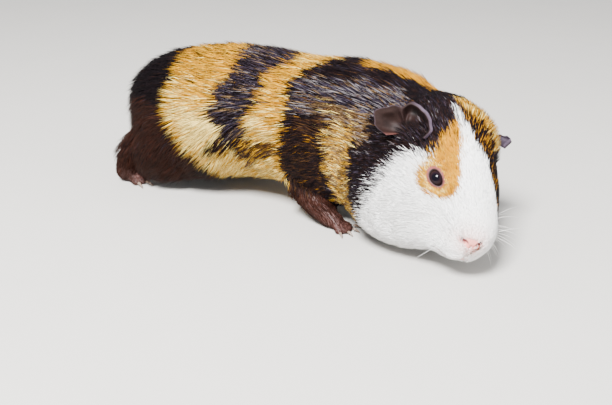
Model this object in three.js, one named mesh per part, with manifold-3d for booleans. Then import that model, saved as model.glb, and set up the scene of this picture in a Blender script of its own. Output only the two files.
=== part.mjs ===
// A life-size guinea pig that grazes with its head turned to its right and lowered, its right hind foot
// pushed back with the heel raised. +X runs forward along the trunk, +Y to the animal's left, +Z up.
// The flesh is one smooth implicit shape, made of ellipsoids out to the tips of the coat, with round limbs.
// It is parted with thin cuts into head, neck, trunk and thighs; legs and eyes sit in pockets of it.
import * as THREE from "three";
import { mergeVertices } from "three/addons/utils/BufferGeometryUtils.js";
import Module from "manifold-3d";

// ---- Driving dimensions, in millimetres and degrees ----
const CUT = 0.3; // width of the thin cuts between neighbouring pieces
const SOLE_DEPTH = 0.7; // what the floor plane takes off the soles, leaving small flats
const BODY_CELL = 10.2; // sampling steps of the faceted solids
const HEAD_CELL = 5.5;
const BODY_REACH = { low: [-125, -80, -8], high: [150, 62, 108] }; // a box round the whole body

const NECK_BLEND = 12; // how softly the head's shape runs into the trunk's
const TRUNK = {
  blend: 16,
  lumps: [
    { at: [-76, 0, 45], size: [35, 37, 31] }, // rump
    { at: [-42, 0, 46], size: [44, 41, 37] }, // loin
    { at: [-4, 0, 45], size: [44, 40, 37] }, // ribs
    { at: [34, -1, 47], size: [34, 36, 36.5] }, // shoulders
    { at: [62, -6, 49], size: [27, 28, 31] }, // neck
    { at: [-57, -25, 35], size: [28, 20, 25] }, // haunches
    { at: [-54, 25, 33], size: [30, 20, 25] },
    { at: [-78, -29, 21], size: [18, 14, 18] }, // the right knee, drawn up in front of the hock
    { at: [26, -23, 31], size: [22, 18, 23] }, // upper arms
    { at: [31, 22, 32], size: [21, 18, 24] },
  ],
};

const HEAD = { at: [81.7, -12.6, 59], yaw: -52, pitch: 31.5, roll: -22 };
const FACE = {
  blend: 9,
  lumps: [
    { at: [14, 0, 2.5], size: [26, 24, 22.5] }, // cranium
    { at: [36, 0, 1], size: [27, 20, 20] }, // brow and eyes
    { at: [56, 0, -3], size: [19, 15, 16.5] }, // muzzle
    { at: [66.5, 0, -3], size: [8.5, 10.5, 10.5] }, // nose
    { at: [30, 12, -9], size: [24, 14, 16] }, // cheeks
    { at: [30, -12, -9], size: [24, 14, 16] },
    { at: [52, 0, -13], size: [15, 10, 8] }, // chin
    { at: [12, 0, -14], size: [24, 21, 19] }, // throat
    { at: [12, 19, -2], size: [10, 7.5, 9] }, // bases of the ears
    { at: [12, -19, -2], size: [10, 7.5, 9] },
  ],
};
const JOWLS = [
  { at: [66, -37, 27], size: [22, 19, 22] }, // loose skin folded below the turned head
  { at: [84, -45, 25], size: [22, 17, 19] },
];

const EYE = { at: [42, 15.7, 5], radius: 5 }; // in the head's frame, mirrored

// Each ear is a petal; its rim goes by angle and distance from its root, from the front edge over the top
// to the rear lobe. The right ear is held up, and the left one hangs further out.
const EAR = {
  rim: [
    { angle: -2, reach: 11 },
    { angle: 20, reach: 13.8 },
    { angle: 56, reach: 14.6 },
    { angle: 88, reach: 15 },
    { angle: 109, reach: 12.4 }, // the notch in the top edge
    { angle: 133, reach: 14.4 },
    { angle: 158, reach: 17.6 }, // the rear lobe
    { angle: 175, reach: 15 },
    { angle: 203, reach: 8 },
  ],
  heart: 0.12, // the petal's middle, as a share of its reach
  thickness: 1.4,
  thinning: 0.45, // share of the thickness lost at the rim
  cup: 5,
  stalk: [2.6, 5], // radii of the short root that joins the petal to the head
  stalkDepth: 14,
  spokes: 18,
  rings: 3,
};
// In the head's frame, with y measured outward: "upward" is where the rim's 90 degrees point.
const EAR_POSES = {
  right: { side: -1, root: [17.4, 27.4, 5.5], facing: [0.5, 0.72, 0.47], upward: [-0.6, 0.1, 0.8] },
  left: { side: 1, root: [16.3, 26, 4.3], facing: [0.43, 0.88, -0.2], upward: [-0.85, 0.47, 0.24] },
};

// Lower legs: the path runs down the limb to the heel or wrist, then comes the ball of the foot.
const HIND_FEET = {
  right: {
    path: [[-56, -30, 29], [-71, -29, 36], [-83, -28, 37], [-96, -30, 23]],
    limb: [12, 11, 11, 10, 7.5],
    ball: [-103, -31],
    heading: -6,
  },
  left: {
    path: [[-52, 25, 20], [-63, 25.5, 14], [-71, 26, 7.5], [-58, 28, 5.2]],
    limb: [8.5, 8.5, 7.6, 6, 5.4],
    ball: [-46, 29],
    heading: 5,
  },
};
const FORE_FEET = {
  right: {
    path: [[16, -30, 21], [25, -33, 13], [31, -34.5, 7]],
    limb: [11, 9, 6.4, 5],
    ball: [37, -35.5],
    heading: -12,
  },
  left: {
    path: [[22, 27, 19], [32, 28, 12], [40, 29, 7]],
    limb: [11, 9, 6.4, 5],
    ball: [46, 29.5],
    heading: 4,
  },
};
const HIND = { length: 12, toe: [3, 2.4], spread: [-20, 0, 20], claw: 5.5 };
const FORE = { length: 9, toe: [2.4, 2], spread: [-36, -12, 12, 36], claw: 4 };
const OUTER_TOES = 0.88; // length of the outermost toes against the middle ones
const CLAW = { wide: 0.5, bend: 0.36, tip: 0.25, tipHeight: 0.4 }; // radii: shares of the toe's, then mm

// Where the pieces are parted.
const HEAD_BALL = { at: [38, -2, -8], radius: 46 }; // in the head's own frame
const NECK_CUT = { at: 62, lean: 0.45 };
const THIGH = { at: { right: [-57, -42, 31], left: [-54, 42, 28] }, size: [31, 17, 27] };

// ---- Shapes as signed distances ----
const rad = THREE.MathUtils.degToRad;
const v3 = (p) => new THREE.Vector3(...p);

function smooth(a, b, k) {
  const h = Math.max(k - Math.abs(a - b), 0) / k;
  return Math.min(a, b) - h * h * k * 0.25;
}

// An ellipsoid, its distance near enough beside the surface.
const ellipsoid = ({ at, size }) => (x, y, z) => {
  const [dx, dy, dz] = [x - at[0], y - at[1], z - at[2]];
  const near = Math.hypot(dx / size[0], dy / size[1], dz / size[2]);
  const steep = Math.hypot(dx / size[0] ** 2, dy / size[1] ** 2, dz / size[2] ** 2);
  return steep === 0 ? -Math.min(...size) : (near * (near - 1)) / steep;
};

const FAR = 1e3;
const joined = (shapes, k) => (x, y, z) => shapes.reduce((d, f) => smooth(d, f(x, y, z), k), FAR);
const grown = (shape, by) => (x, y, z) => shape(x, y, z) - by;

// A shape built in its own frame and placed by a matrix that keeps sizes.
function placed(shape, matrix) {
  const back = matrix.clone().invert();
  const p = new THREE.Vector3();
  return (x, y, z) => {
    p.set(x, y, z).applyMatrix4(back);
    return shape(p.x, p.y, p.z);
  };
}

const headMatrix = new THREE.Matrix4()
  .makeRotationFromEuler(new THREE.Euler(rad(HEAD.roll), rad(HEAD.pitch), rad(HEAD.yaw), "ZYX"))
  .setPosition(...HEAD.at);
const inHead = (p) => v3(p).applyMatrix4(headMatrix);

const trunkShape = joined([...TRUNK.lumps, ...JOWLS].map(ellipsoid), TRUNK.blend);
const faceShape = joined(FACE.lumps.map(ellipsoid), FACE.blend);
const fleshShape = joined([trunkShape, placed(faceShape, headMatrix)], NECK_BLEND);

// ---- From a shape to a closed faceted mesh ----
const AXES = [0, 1, 2];
const CELL_CORNERS = [...Array(8).keys()].map((c) => [c & 1, (c >> 1) & 1, (c >> 2) & 1]);
const MARGIN = 1.3; // cells that are kept empty inside the sampled box

// One vertex in each cell that the surface crosses, pulled on to the surface; quads across each crossed edge.
function polygonize(shape, { low, high }, cell) {
  const n = low.map((v, i) => Math.ceil((high[i] - v) / cell) + 1);
  const index = (i, j, k) => (k * n[1] + j) * n[0] + i;
  const value = new Float64Array(n[0] * n[1] * n[2]);
  const boxed = (x, y, z) => {
    const out = [x, y, z].map((v, m) => Math.max(low[m] - v, v - high[m]) + cell * MARGIN);
    return Math.max(shape(x, y, z), ...out);
  };
  for (let k = 0; k < n[2]; k++)
    for (let j = 0; j < n[1]; j++)
      for (let i = 0; i < n[0]; i++)
        value[index(i, j, k)] = boxed(low[0] + i * cell, low[1] + j * cell, low[2] + k * cell);
  const vertexOf = new Int32Array(value.length).fill(-1);
  const points = [];
  for (let k = 0; k < n[2] - 1; k++)
    for (let j = 0; j < n[1] - 1; j++)
      for (let i = 0; i < n[0] - 1; i++) {
        const at = CELL_CORNERS.map((c) => value[index(i + c[0], j + c[1], k + c[2])]);
        const middle = crossing(at);
        if (!middle) continue;
        vertexOf[index(i, j, k)] = points.length;
        points.push(middle.add(v3([i, j, k])).multiplyScalar(cell).add(v3(low)));
      }
  points.forEach((p) => pull(p, boxed, cell));
  const faces = [];
  for (let k = 1; k < n[2] - 1; k++)
    for (let j = 1; j < n[1] - 1; j++)
      for (let i = 1; i < n[0] - 1; i++)
        for (const axis of AXES) {
          const next = [i, j, k];
          next[axis]++;
          const inside = value[index(i, j, k)] < 0;
          if (inside === value[index(...next)] < 0) continue;
          const ring = [[0, 0], [1, 0], [1, 1], [0, 1]].map(([du, dw]) => {
            const c = [i, j, k];
            c[(axis + 1) % 3] -= du;
            c[(axis + 2) % 3] -= dw;
            return vertexOf[index(...c)];
          });
          if (!inside) ring.reverse();
          const across = (m) => points[ring[m]].distanceTo(points[ring[m + 2]]);
          const [a, b, c, d] = across(0) > across(1) ? [...ring.slice(1), ring[0]] : ring;
          faces.push(a, b, c, a, c, d);
        }
  return { points, faces };
}

// The mean of the points where the surface crosses a cell's edges, in cells from its lowest corner.
function crossing(values) {
  const sum = new THREE.Vector3();
  let count = 0;
  values.forEach((value, c) => {
    for (const axis of AXES) {
      const d = c | (1 << axis);
      if (d === c || value < 0 === values[d] < 0) continue;
      sum.add(v3(CELL_CORNERS[c]).setComponent(axis, value / (value - values[d])));
      count++;
    }
  });
  return count ? sum.divideScalar(count) : null;
}

// Moves a point along the shape's slope until it lies on the surface.
function pull(p, shape, cell) {
  const [passes, nudge, longest, leastSlope] = [3, cell * 0.05, cell * 0.4, 0.2];
  for (let pass = 0; pass < passes; pass++) {
    const d = shape(p.x, p.y, p.z);
    const slope = v3([
      shape(p.x + nudge, p.y, p.z) - d,
      shape(p.x, p.y + nudge, p.z) - d,
      shape(p.x, p.y, p.z + nudge) - d,
    ]).divideScalar(nudge);
    const far = d / Math.max(slope.lengthSq(), leastSlope);
    p.addScaledVector(slope, -THREE.MathUtils.clamp(far, -longest, longest));
  }
}

// ---- Solids ----
const wasm = await Module();
wasm.setup();

function meshOf(geometry) {
  const merged = mergeVertices(geometry.deleteAttribute("uv").deleteAttribute("normal"), 1e-4);
  const p = merged.attributes.position;
  const points = [...Array(p.count).keys()].map((i) => new THREE.Vector3().fromBufferAttribute(p, i));
  return { points, faces: [...merged.index.array] };
}

function solid({ points, faces }) {
  const vertProperties = new Float32Array(points.flatMap((p) => [p.x, p.y, p.z]));
  return new wasm.Manifold(new wasm.Mesh({ numProp: 3, vertProperties, triVerts: new Uint32Array(faces) }));
}

const around = (at, reach) => ({ low: at.map((v) => v - reach), high: at.map((v) => v + reach) });
const solidOf = (shape, region, cell) => solid(polygonize(shape, region, cell));

// Everything on one side of a plane, as a box that is larger than the part.
function beyond(normal, distance) {
  const side = 800;
  const n = v3(normal).normalize();
  const turn = new THREE.Quaternion().setFromUnitVectors(new THREE.Vector3(0, 0, 1), n);
  const g = new THREE.BoxGeometry(side, side, side);
  g.applyQuaternion(turn).translate(...n.multiplyScalar(distance + side / 2));
  return solid(meshOf(g));
}
const floored = (s) => s.subtract(beyond([0, 0, -1], 0));

const ROUND_END = [{ out: 0.55, narrow: 0.8 }, { out: 0.9, narrow: 0.35 }]; // shares of the end's radius

// A round tube along a smooth path, its radii shared out along it, with rounded ends.
function tube(path, radii, sides, steps) {
  const curve = new THREE.CatmullRomCurve3(path);
  const radiusAt = (t) => {
    const u = t * (radii.length - 1);
    const i = Math.min(Math.floor(u), radii.length - 2);
    return radii[i] + (radii[i + 1] - radii[i]) * (u - i);
  };
  const rings = [];
  for (let i = 0; i <= steps; i++) {
    const t = i / steps;
    rings.push({ at: curve.getPoint(t), along: curve.getTangent(t), r: radiusAt(t) });
  }
  const capped = (end, way) =>
    ROUND_END.map(({ out, narrow }) => ({
      at: end.at.clone().addScaledVector(end.along, way * out * end.r),
      along: end.along,
      r: end.r * narrow,
    }));
  rings.unshift(...capped(rings[0], -1).reverse());
  rings.push(...capped(rings.at(-1), 1));
  return skinned(rings, sides);
}

// Round rings, each with its centre, direction and radius, joined one to the next and closed at both ends.
function skinned(rings, sides) {
  const points = [];
  const faces = [];
  const aside = new THREE.Vector3(0.1, 1, 0.3); // no path runs this way, so it can start every ring
  rings.forEach(({ at, along, r }, i) => {
    const u = aside.clone().cross(along).normalize();
    const w = along.clone().normalize().cross(u);
    for (let s = 0; s < sides; s++) {
      const a = (2 * Math.PI * s) / sides;
      points.push(at.clone().addScaledVector(u, r * Math.cos(a)).addScaledVector(w, r * Math.sin(a)));
      if (i === 0) continue;
      const [a0, a1] = [(i - 1) * sides + s, (i - 1) * sides + ((s + 1) % sides)];
      faces.push(a0, a1, a1 + sides, a0, a1 + sides, a0 + sides);
    }
  });
  const last = points.length - sides;
  for (let s = 1; s < sides - 1; s++) {
    faces.push(0, s + 1, s, last, last + s, last + s + 1);
  }
  return { points, faces };
}

// The ear is a thin cupped petal: a fan of spokes from the root to the rim, with an inner and an outer face.
function earReach(angle) {
  const i = Math.max(1, EAR.rim.findIndex((knot) => knot.angle >= angle));
  const [from, to] = [EAR.rim[i - 1], EAR.rim[i]];
  const t = THREE.MathUtils.smoothstep(angle, from.angle, to.angle);
  return from.reach + (to.reach - from.reach) * t;
}

function ear({ side, root, facing, upward }) {
  const { spokes, rings } = EAR;
  const out = v3(facing).normalize();
  const up = v3(upward).addScaledVector(out, -v3(upward).dot(out)).normalize();
  const fore = out.clone().cross(up);
  const [first, last] = [EAR.rim[0].angle, EAR.rim.at(-1).angle];
  const at = (ahead, above, lift) => {
    const p = v3(root).addScaledVector(fore, ahead).addScaledVector(up, above).addScaledVector(out, lift);
    return inHead([p.x, side * p.y, p.z]);
  };
  const place = (spoke, ring, layer) => {
    const angle = first + ((last - first) * spoke) / spokes;
    const share = EAR.heart + ((1 - EAR.heart) * ring) / rings;
    const reach = earReach(angle) * share;
    const hollow = EAR.cup * (share ** 2 - 0.55);
    const lift = hollow + layer * EAR.thickness * (1 - EAR.thinning * share);
    return at(reach * Math.cos(rad(angle)), reach * Math.sin(rad(angle)), lift);
  };
  const points = [];
  for (const layer of [0, 1])
    for (let s = 0; s <= spokes; s++)
      for (let r = 0; r <= rings; r++)
        points.push(place(s, r, layer));
  const id = (layer, s, r) => (layer * (spokes + 1) + s) * (rings + 1) + r;
  const faces = [];
  const outward = side < 0 ? [0, 1, 2, 0, 2, 3] : [0, 2, 1, 0, 3, 2];
  const quad = (...corners) => faces.push(...outward.map((c) => corners[c]));
  for (let s = 0; s < spokes; s++) {
    for (let r = 0; r < rings; r++) {
      quad(id(1, s, r), id(1, s, r + 1), id(1, s + 1, r + 1), id(1, s + 1, r));
      quad(id(0, s, r), id(0, s + 1, r), id(0, s + 1, r + 1), id(0, s, r + 1));
    }
    quad(id(0, s, 0), id(1, s, 0), id(1, s + 1, 0), id(0, s + 1, 0));
    quad(id(0, s, rings), id(0, s + 1, rings), id(1, s + 1, rings), id(1, s, rings));
  }
  for (let r = 0; r < rings; r++) {
    quad(id(0, 0, r), id(0, 0, r + 1), id(1, 0, r + 1), id(1, 0, r));
    quad(id(0, spokes, r), id(1, spokes, r), id(1, spokes, r + 1), id(0, spokes, r + 1));
  }
  const stalk = tube([at(0, 1.5, -0.5 * EAR.cup), at(0, 0, -EAR.stalkDepth)], EAR.stalk, 8, 1);
  return solid({ points, faces }).add(solid(stalk));
}

// ---- Feet, toes and claws ----
// One lower leg: a limb bent at wrist or heel, toes fanned out from the ball, and a claw at each toe's tip.
function lowerLeg(joints, sizes, grow) {
  const { limb, ball, heading } = joints;
  const [near, far] = sizes.toe;
  const bend = joints.path.map(v3);
  const low = v3([ball[0], ball[1], limb.at(-1) - SOLE_DEPTH]);
  const pieces = [tube([...bend, low], limb.map((r) => r + grow), 8, 5)];
  const claws = [];
  sizes.spread.forEach((angle) => {
    const turn = rad(heading + angle);
    const outermost = Math.abs(angle / sizes.spread.at(-1));
    const reach = THREE.MathUtils.lerp(sizes.length, sizes.length * OUTER_TOES, outermost);
    const at = (out, z) => v3([ball[0] + Math.cos(turn) * out, ball[1] + Math.sin(turn) * out, z]);
    const knuckle = at(reach * 0.55, near + 0.5);
    const tip = at(reach, far - SOLE_DEPTH);
    pieces.push(tube([at(1, near + 1), knuckle, tip], [near + grow, near + grow, far + grow], 6, 2));
    const root = reach + far * 0.93 + CUT; // just in front of the toe's rounded end
    const end = root + sizes.claw;
    claws.push([at(root, far), at((root + end) / 2, far * 0.85), at(end, CLAW.tipHeight)]);
  });
  return { pieces, claws };
}

// A claw is a bent cone with a flat root in front of its toe.
function clawSolid(path, toe) {
  const radii = [toe * CLAW.wide, toe * CLAW.bend, CLAW.tip];
  const along = path[2].clone().sub(path[0]);
  return solid(skinned(path.map((at, i) => ({ at, along, r: radii[i] })), 6));
}
const unionOf = (pieces) => pieces.map(solid).reduce((a, b) => a.add(b));

// ---- Pieces and their looks ----
const LOOKS = {
  coat: { color: 0xcfa878, roughness: 0.9 },
  face: { color: 0xf2f0ee, roughness: 0.9 },
  skin: { color: 0x4a2e2a, roughness: 0.55 },
  eye: { color: 0x120a0c, roughness: 0.08 },
  claw: { color: 0x6a5a52, roughness: 0.4 },
};
const group = new THREE.Group();

function add(name, made, look) {
  const m = made.getMesh();
  const g = new THREE.BufferGeometry();
  g.setAttribute("position", new THREE.BufferAttribute(new Float32Array(m.vertProperties), 3));
  g.setIndex(new THREE.BufferAttribute(new Uint32Array(m.triVerts), 1));
  const mesh = new THREE.Mesh(g, new THREE.MeshStandardMaterial({ ...LOOKS[look], metalness: 0 }));
  mesh.name = name;
  group.add(mesh);
}

const LEGS = {
  hind_foot_right: [HIND_FEET.right, HIND],
  hind_foot_left: [HIND_FEET.left, HIND],
  fore_leg_right: [FORE_FEET.right, FORE],
  fore_leg_left: [FORE_FEET.left, FORE],
};
let legSpace = null;
for (const [name, [joints, sizes]] of Object.entries(LEGS)) {
  const { pieces, claws } = lowerLeg(joints, sizes, 0);
  const made = floored(unionOf(pieces));
  claws.forEach((path, i) => {
    add(`claw_${name.replace(/_(foot|leg)/, "")}_${i + 1}`, clawSolid(path, sizes.toe[1]), "claw");
  });
  add(name, made, "skin");
  const space = unionOf(lowerLeg(joints, sizes, CUT).pieces);
  legSpace = legSpace ? legSpace.add(space) : space;
}

// Round cutters part the head, the neck and the thighs from the trunk.
function ball(at, half, sides = 18) {
  return solid(meshOf(new THREE.SphereGeometry(1, sides, sides / 2 + 2).scale(...half).translate(...at)));
}
const widened = (half) => half.map((h) => h + CUT);

const body = floored(solidOf(fleshShape, BODY_REACH, BODY_CELL));
const headAt = inHead(HEAD_BALL.at).toArray();
const headHalf = Array(3).fill(HEAD_BALL.radius);
const headRegion = around(headAt, HEAD_BALL.radius + 2 * HEAD_CELL * MARGIN);
let head = floored(solidOf(fleshShape, headRegion, HEAD_CELL)).intersect(ball(headAt, headHalf));
const trunkAndNeck = body.subtract(ball(headAt, widened(headHalf)));
const neckWay = [1, 0, NECK_CUT.lean];
const neckFar = NECK_CUT.at / v3(neckWay).length();
add("neck", trunkAndNeck.intersect(beyond(neckWay, neckFar + CUT)), "coat");
let trunk = trunkAndNeck.subtract(beyond(neckWay, neckFar)).subtract(legSpace);
for (const [side, at] of Object.entries(THIGH.at)) {
  add(`thigh_${side}`, body.intersect(ball(at, THIGH.size)).subtract(legSpace), "coat");
  trunk = trunk.subtract(ball(at, widened(THIGH.size)));
}
add("trunk", trunk, "coat");

// Ears stand on the head's surface; eyes sit in sockets.
const EYE_SIDES = 12;
const headRoom = solidOf(grown(fleshShape, CUT), headRegion, HEAD_CELL);
for (const [name, pose] of Object.entries(EAR_POSES)) {
  const eyeAt = inHead([EYE.at[0], pose.side * EYE.at[1], EYE.at[2]]).toArray();
  const eyeHalf = Array(3).fill(EYE.radius);
  add(`ear_${name}`, ear(pose).subtract(headRoom), "skin");
  add(`eye_${name}`, ball(eyeAt, eyeHalf, EYE_SIDES), "eye");
  head = head.subtract(ball(eyeAt, widened(eyeHalf), EYE_SIDES));
}
add("head", head, "face");

const box = new THREE.Box3().setFromObject(group);
const middle = box.getCenter(new THREE.Vector3());
group.position.set(-middle.x, -middle.y, -box.min.z);

export default group;
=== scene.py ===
"""A life-size guinea pig: skin, short tricolour coat, eyes, claws and whiskers, on a pale studio floor."""

import itertools
import math

import bmesh
import bpy
import numpy as np
from bpy.props import FloatProperty, FloatVectorProperty, IntProperty, PointerProperty
from mathutils import Euler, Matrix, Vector
from mathutils.bvhtree import BVHTree
from mathutils.kdtree import KDTree


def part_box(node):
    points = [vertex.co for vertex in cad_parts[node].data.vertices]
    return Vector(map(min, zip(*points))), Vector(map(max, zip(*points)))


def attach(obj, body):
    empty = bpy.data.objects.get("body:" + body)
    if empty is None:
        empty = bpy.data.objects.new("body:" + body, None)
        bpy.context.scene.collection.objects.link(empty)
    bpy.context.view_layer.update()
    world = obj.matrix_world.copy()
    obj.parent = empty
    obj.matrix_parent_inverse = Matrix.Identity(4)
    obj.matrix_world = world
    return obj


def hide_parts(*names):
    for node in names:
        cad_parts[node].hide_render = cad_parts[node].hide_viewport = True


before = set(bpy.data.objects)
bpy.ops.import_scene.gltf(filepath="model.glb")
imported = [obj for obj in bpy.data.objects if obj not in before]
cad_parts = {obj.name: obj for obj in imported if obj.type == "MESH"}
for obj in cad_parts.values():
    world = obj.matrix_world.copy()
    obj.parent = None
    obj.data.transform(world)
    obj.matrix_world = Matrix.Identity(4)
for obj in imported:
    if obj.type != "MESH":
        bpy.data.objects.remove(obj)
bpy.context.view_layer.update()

bl_info = {
    "name": "Guinea pig",
    "version": (1, 0, 0),
    "blender": (4, 5, 0),
    "location": "3D View > Sidebar > Guinea Pig",
    "description": "Makes the skin, coat, eyes, claws and whiskers of a still guinea pig model",
    "category": "Object",
}

MM = 0.001  # the frame is in metres, and the shapes below are worked out in millimetres
SIDES = (-1, 1)  # the animal's right and left, in the sign of y
FLOOR_GAP = 0.05  # the lowest skin and hair lie this many millimetres over the floor


def linear(code):
    """An sRGB hex colour as linear red, green and blue."""
    parts = [int(code[i : i + 2], 16) / 255 for i in (1, 3, 5)]
    return tuple(c / 12.92 if c <= 0.04045 else ((c + 0.055) / 1.055) ** 2.4 for c in parts)


def smoothstep(low, high, x):
    """A smooth step from 0 at low to 1 at high; high may be the smaller one."""
    t = np.clip((x - low) / (high - low), 0, 1)
    return t * t * (3 - 2 * t)


def bell(x, middle, width):
    """1 in the middle, falling to 0 within about two widths."""
    return np.exp(-(((x - middle) / width) ** 2))


def unit(v):
    return v / np.maximum(np.linalg.norm(v, axis=-1, keepdims=True), 1e-9)


# ---- Settings that a user would change ----


def colour(name, code, description):
    return FloatVectorProperty(
        name=name, description=description, default=linear(code), size=3, subtype="COLOR", min=0, max=1
    )


def length(name, value, description):
    return FloatProperty(name=name, description=description + ", in millimetres", default=value, min=0)


def angle(name, degrees, description):
    return FloatProperty(name=name, description=description, default=math.radians(degrees), subtype="ANGLE")


class GuineaPigCoat(bpy.types.PropertyGroup):
    """Sizes of the hair, in millimetres, and its colours."""

    back: length("Back hair", 14.0, "Length of the hair on the trunk")
    crown: length("Crown hair", 8.0, "Length of the hair behind the ears")
    face: length("Face hair", 4.0, "Length of the hair on the forehead and cheeks")
    muzzle: length("Muzzle hair", 2.0, "Length of the hair beside the nose")
    foot: length("Foot hair", 2.2, "Length of the hair on the feet")
    tuft_width: length("Tuft width", 0.44, "Width of a tuft on the back")
    layers: FloatProperty(
        name="Layers", description="Tufts over each point of the back", default=5.4, min=1
    )
    lift: angle("Lift", 19, "Angle between a tuft's root and the skin")
    seed: IntProperty(name="Seed", description="Start of the random draws", default=7)
    black: colour("Black", "#110B0E", "Black hair of the rump, saddle and ears")
    brown: colour("Brown", "#271712", "Dark brown hair of the haunches and arms")
    russet: colour("Russet", "#331C15", "Reddish brown hair of the feet")
    orange: colour("Orange", "#B67A06", "Orange hair of the brow and nape")
    gold: colour("Gold", "#C08D1C", "Golden hair of the flank")
    chestnut: colour("Chestnut", "#4A3118", "Mid brown hair between the dark and the golden")
    tan: colour("Tan", "#745C3E", "Tan hair of the collar")
    slate: colour("Slate", "#342D39", "Grey-blue hair in the dark bands")
    silver: colour("Silver", "#736D6F", "Grizzled hair of the shoulder")
    cream: colour("Cream", "#EBCF78", "Pale hair between the golden")
    white: colour("White", "#FBFAF8", "White hair of the face")


class GuineaPigFace(bpy.types.PropertyGroup):
    """Sizes of the eyes and whiskers, in millimetres, and the colours of bare skin, with the painted shade
    of the ears' hollows.
    """

    eye_radius: length("Eyeball", 5.0, "Radius of the eyeball")
    lid_long: length("Lid opening", 4.15, "Half the opening between the lids, front to back")
    lid_high: length("Lid height", 2.75, "Half the opening between the lids, top to bottom")
    whisker: length("Whiskers", 22.0, "Length of the longest whiskers")
    pink: colour("Pink skin", "#DE8C80", "Bare skin of the nose and lips")
    eye_rim: colour("Eye rim", "#70322E", "Bare skin round the eyes")
    nostril: colour("Nostril", "#541618", "Wet skin inside the nostrils")
    lid: colour("Lid edge", "#1E1212", "Dark edge of the eyelids")
    ear: colour("Ear skin", "#1D100F", "Thin dark skin inside the ears")
    lobe: colour("Ear lobe", "#1C0F0C", "Thin reddish skin of the rear of the ears")
    # Near-black painted shade for the ears' hollows: the dark canal and the shadow in the cup, under the
    # front rim and in the rear hollow.
    hollow: colour("Ear hollow", "#080404", "Deep hollow of the ears")
    rim: colour("Ear rim", "#493E4B", "Dry grey edge of the ears")
    foot: colour("Foot skin", "#4A2C27", "Dark skin of the feet")
    horn: colour("Claw horn", "#6E5C50", "Horn of the claws")


class GuineaPigStudio(bpy.types.PropertyGroup):
    """The floor, the lamps and the camera."""

    floor: colour("Floor", "#B4B1AC", "Pale floor")
    key_power: FloatProperty(
        name="Key lamp", description="Power of the large lamp", default=70.0, unit="POWER"
    )
    fill_power: FloatProperty(
        name="Fill lamp", description="Power of the lamp opposite", default=5.0, unit="POWER"
    )
    azimuth: angle("Azimuth", 27, "Camera's angle round the animal")
    elevation: angle("Elevation", 24, "Camera's angle above the floor")
    lens: FloatProperty(
        name="Lens", description="Focal length on a 36 mm sensor", default=50.0, unit="CAMERA"
    )


# ---- The head's own frame ----

HEAD_TURN = (-22, 31.5, -52)  # roll, pitch and yaw in degrees: the head is turned to its right and lowered
EYE_IN_HEAD = np.array([42.0, 14.9, 5.0])  # x to the nose, y to the left, z to the crown


def node_centre(name):
    low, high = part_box(name)
    return (np.array(low) + np.array(high)) / 2 / MM


HEAD_AXES = np.array(Euler([math.radians(a) for a in HEAD_TURN], "XYZ").to_matrix())
EYES_MIDDLE = (node_centre("eye_left") + node_centre("eye_right")) / 2
HEAD_AT = EYES_MIDDLE - HEAD_AXES @ (EYE_IN_HEAD * [1, 0, 1])


def to_head(points):
    return (points - HEAD_AT) @ HEAD_AXES


def from_head(points):
    return points @ HEAD_AXES.T + HEAD_AT


def on_side(place, side):
    """A place or a way given for the head's left, for either side."""
    return np.array(place) * [1, side, 1]


# ---- Meshes as arrays, in millimetres ----


def points_of(mesh):
    flat = np.empty(len(mesh.vertices) * 3)
    mesh.vertices.foreach_get("co", flat)
    return flat.reshape(-1, 3) / MM


def set_points(mesh, points):
    mesh.vertices.foreach_set("co", (points * MM).ravel())
    mesh.update()


def settle(mesh):
    """Lays what would pass through the floor flat on it."""
    points = points_of(mesh)
    points[:, 2] = np.maximum(points[:, 2], FLOOR_GAP)
    set_points(mesh, points)


def normals_of(mesh):
    flat = np.empty(len(mesh.vertices) * 3)
    mesh.vertex_normals.foreach_get("vector", flat)
    return flat.reshape(-1, 3)


def edges_of(mesh):
    flat = np.empty(len(mesh.edges) * 2, dtype=np.int32)
    mesh.edges.foreach_get("vertices", flat)
    return flat.reshape(-1, 2)


def neighbour_mean(values, edges):
    """The mean of each vertex's neighbours, for numbers or vectors."""
    ends = np.concatenate([edges[:, 0], edges[:, 1]])
    others = np.concatenate([edges[:, 1], edges[:, 0]])
    count = np.maximum(np.bincount(ends, minlength=len(values)), 1)
    columns = values.reshape(len(values), -1)
    sums = [
        np.bincount(ends, weights=columns[others, k], minlength=len(values)) for k in range(columns.shape[1])
    ]
    return (np.stack(sums, 1) / count[:, None]).reshape(values.shape)


SHRINK, GROW_BACK = 0.5, -0.53  # shares of the way to the neighbours' mean, taken in turn


def smoothed(values, edges, passes, weight=1.0, grow_back=True):
    """Evens values out over the mesh; with grow_back a shape keeps its size."""
    for step in range(passes):
        factor = GROW_BACK if grow_back and step % 2 else SHRINK
        values = values + (neighbour_mean(values, edges) - values) * factor * weight
    return values


def put(mesh, name, kind, domain, values):
    """Stores an array as a named attribute."""
    attribute = mesh.attributes.get(name) or mesh.attributes.new(name, kind, domain)
    key = {"FLOAT": "value", "FLOAT_VECTOR": "vector", "FLOAT2": "vector", "FLOAT_COLOR": "color"}[kind]
    attribute.data.foreach_set(key, np.ascontiguousarray(values, dtype=np.float32).ravel())


def opaque(colours):
    """Colours with a fourth column of ones."""
    return np.concatenate([colours, np.ones((len(colours), 1))], 1)


def faced_out(mesh):
    """Turns every face of a closed mesh outward."""
    shape = bmesh.new()
    shape.from_mesh(mesh)
    bmesh.ops.recalc_face_normals(shape, faces=shape.faces)
    shape.to_mesh(mesh)
    shape.free()


def surface_of(mesh):
    """A mesh's surface, to find its nearest point from."""
    shape = bmesh.new()
    shape.from_mesh(mesh)
    tree = BVHTree.FromBMesh(shape)
    shape.free()
    return tree


def new_object(name, mesh, *materials):
    piece = bpy.data.objects.new(name, mesh)
    bpy.context.collection.objects.link(piece)
    for material in materials:
        mesh.materials.append(material)
    return piece


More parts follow.
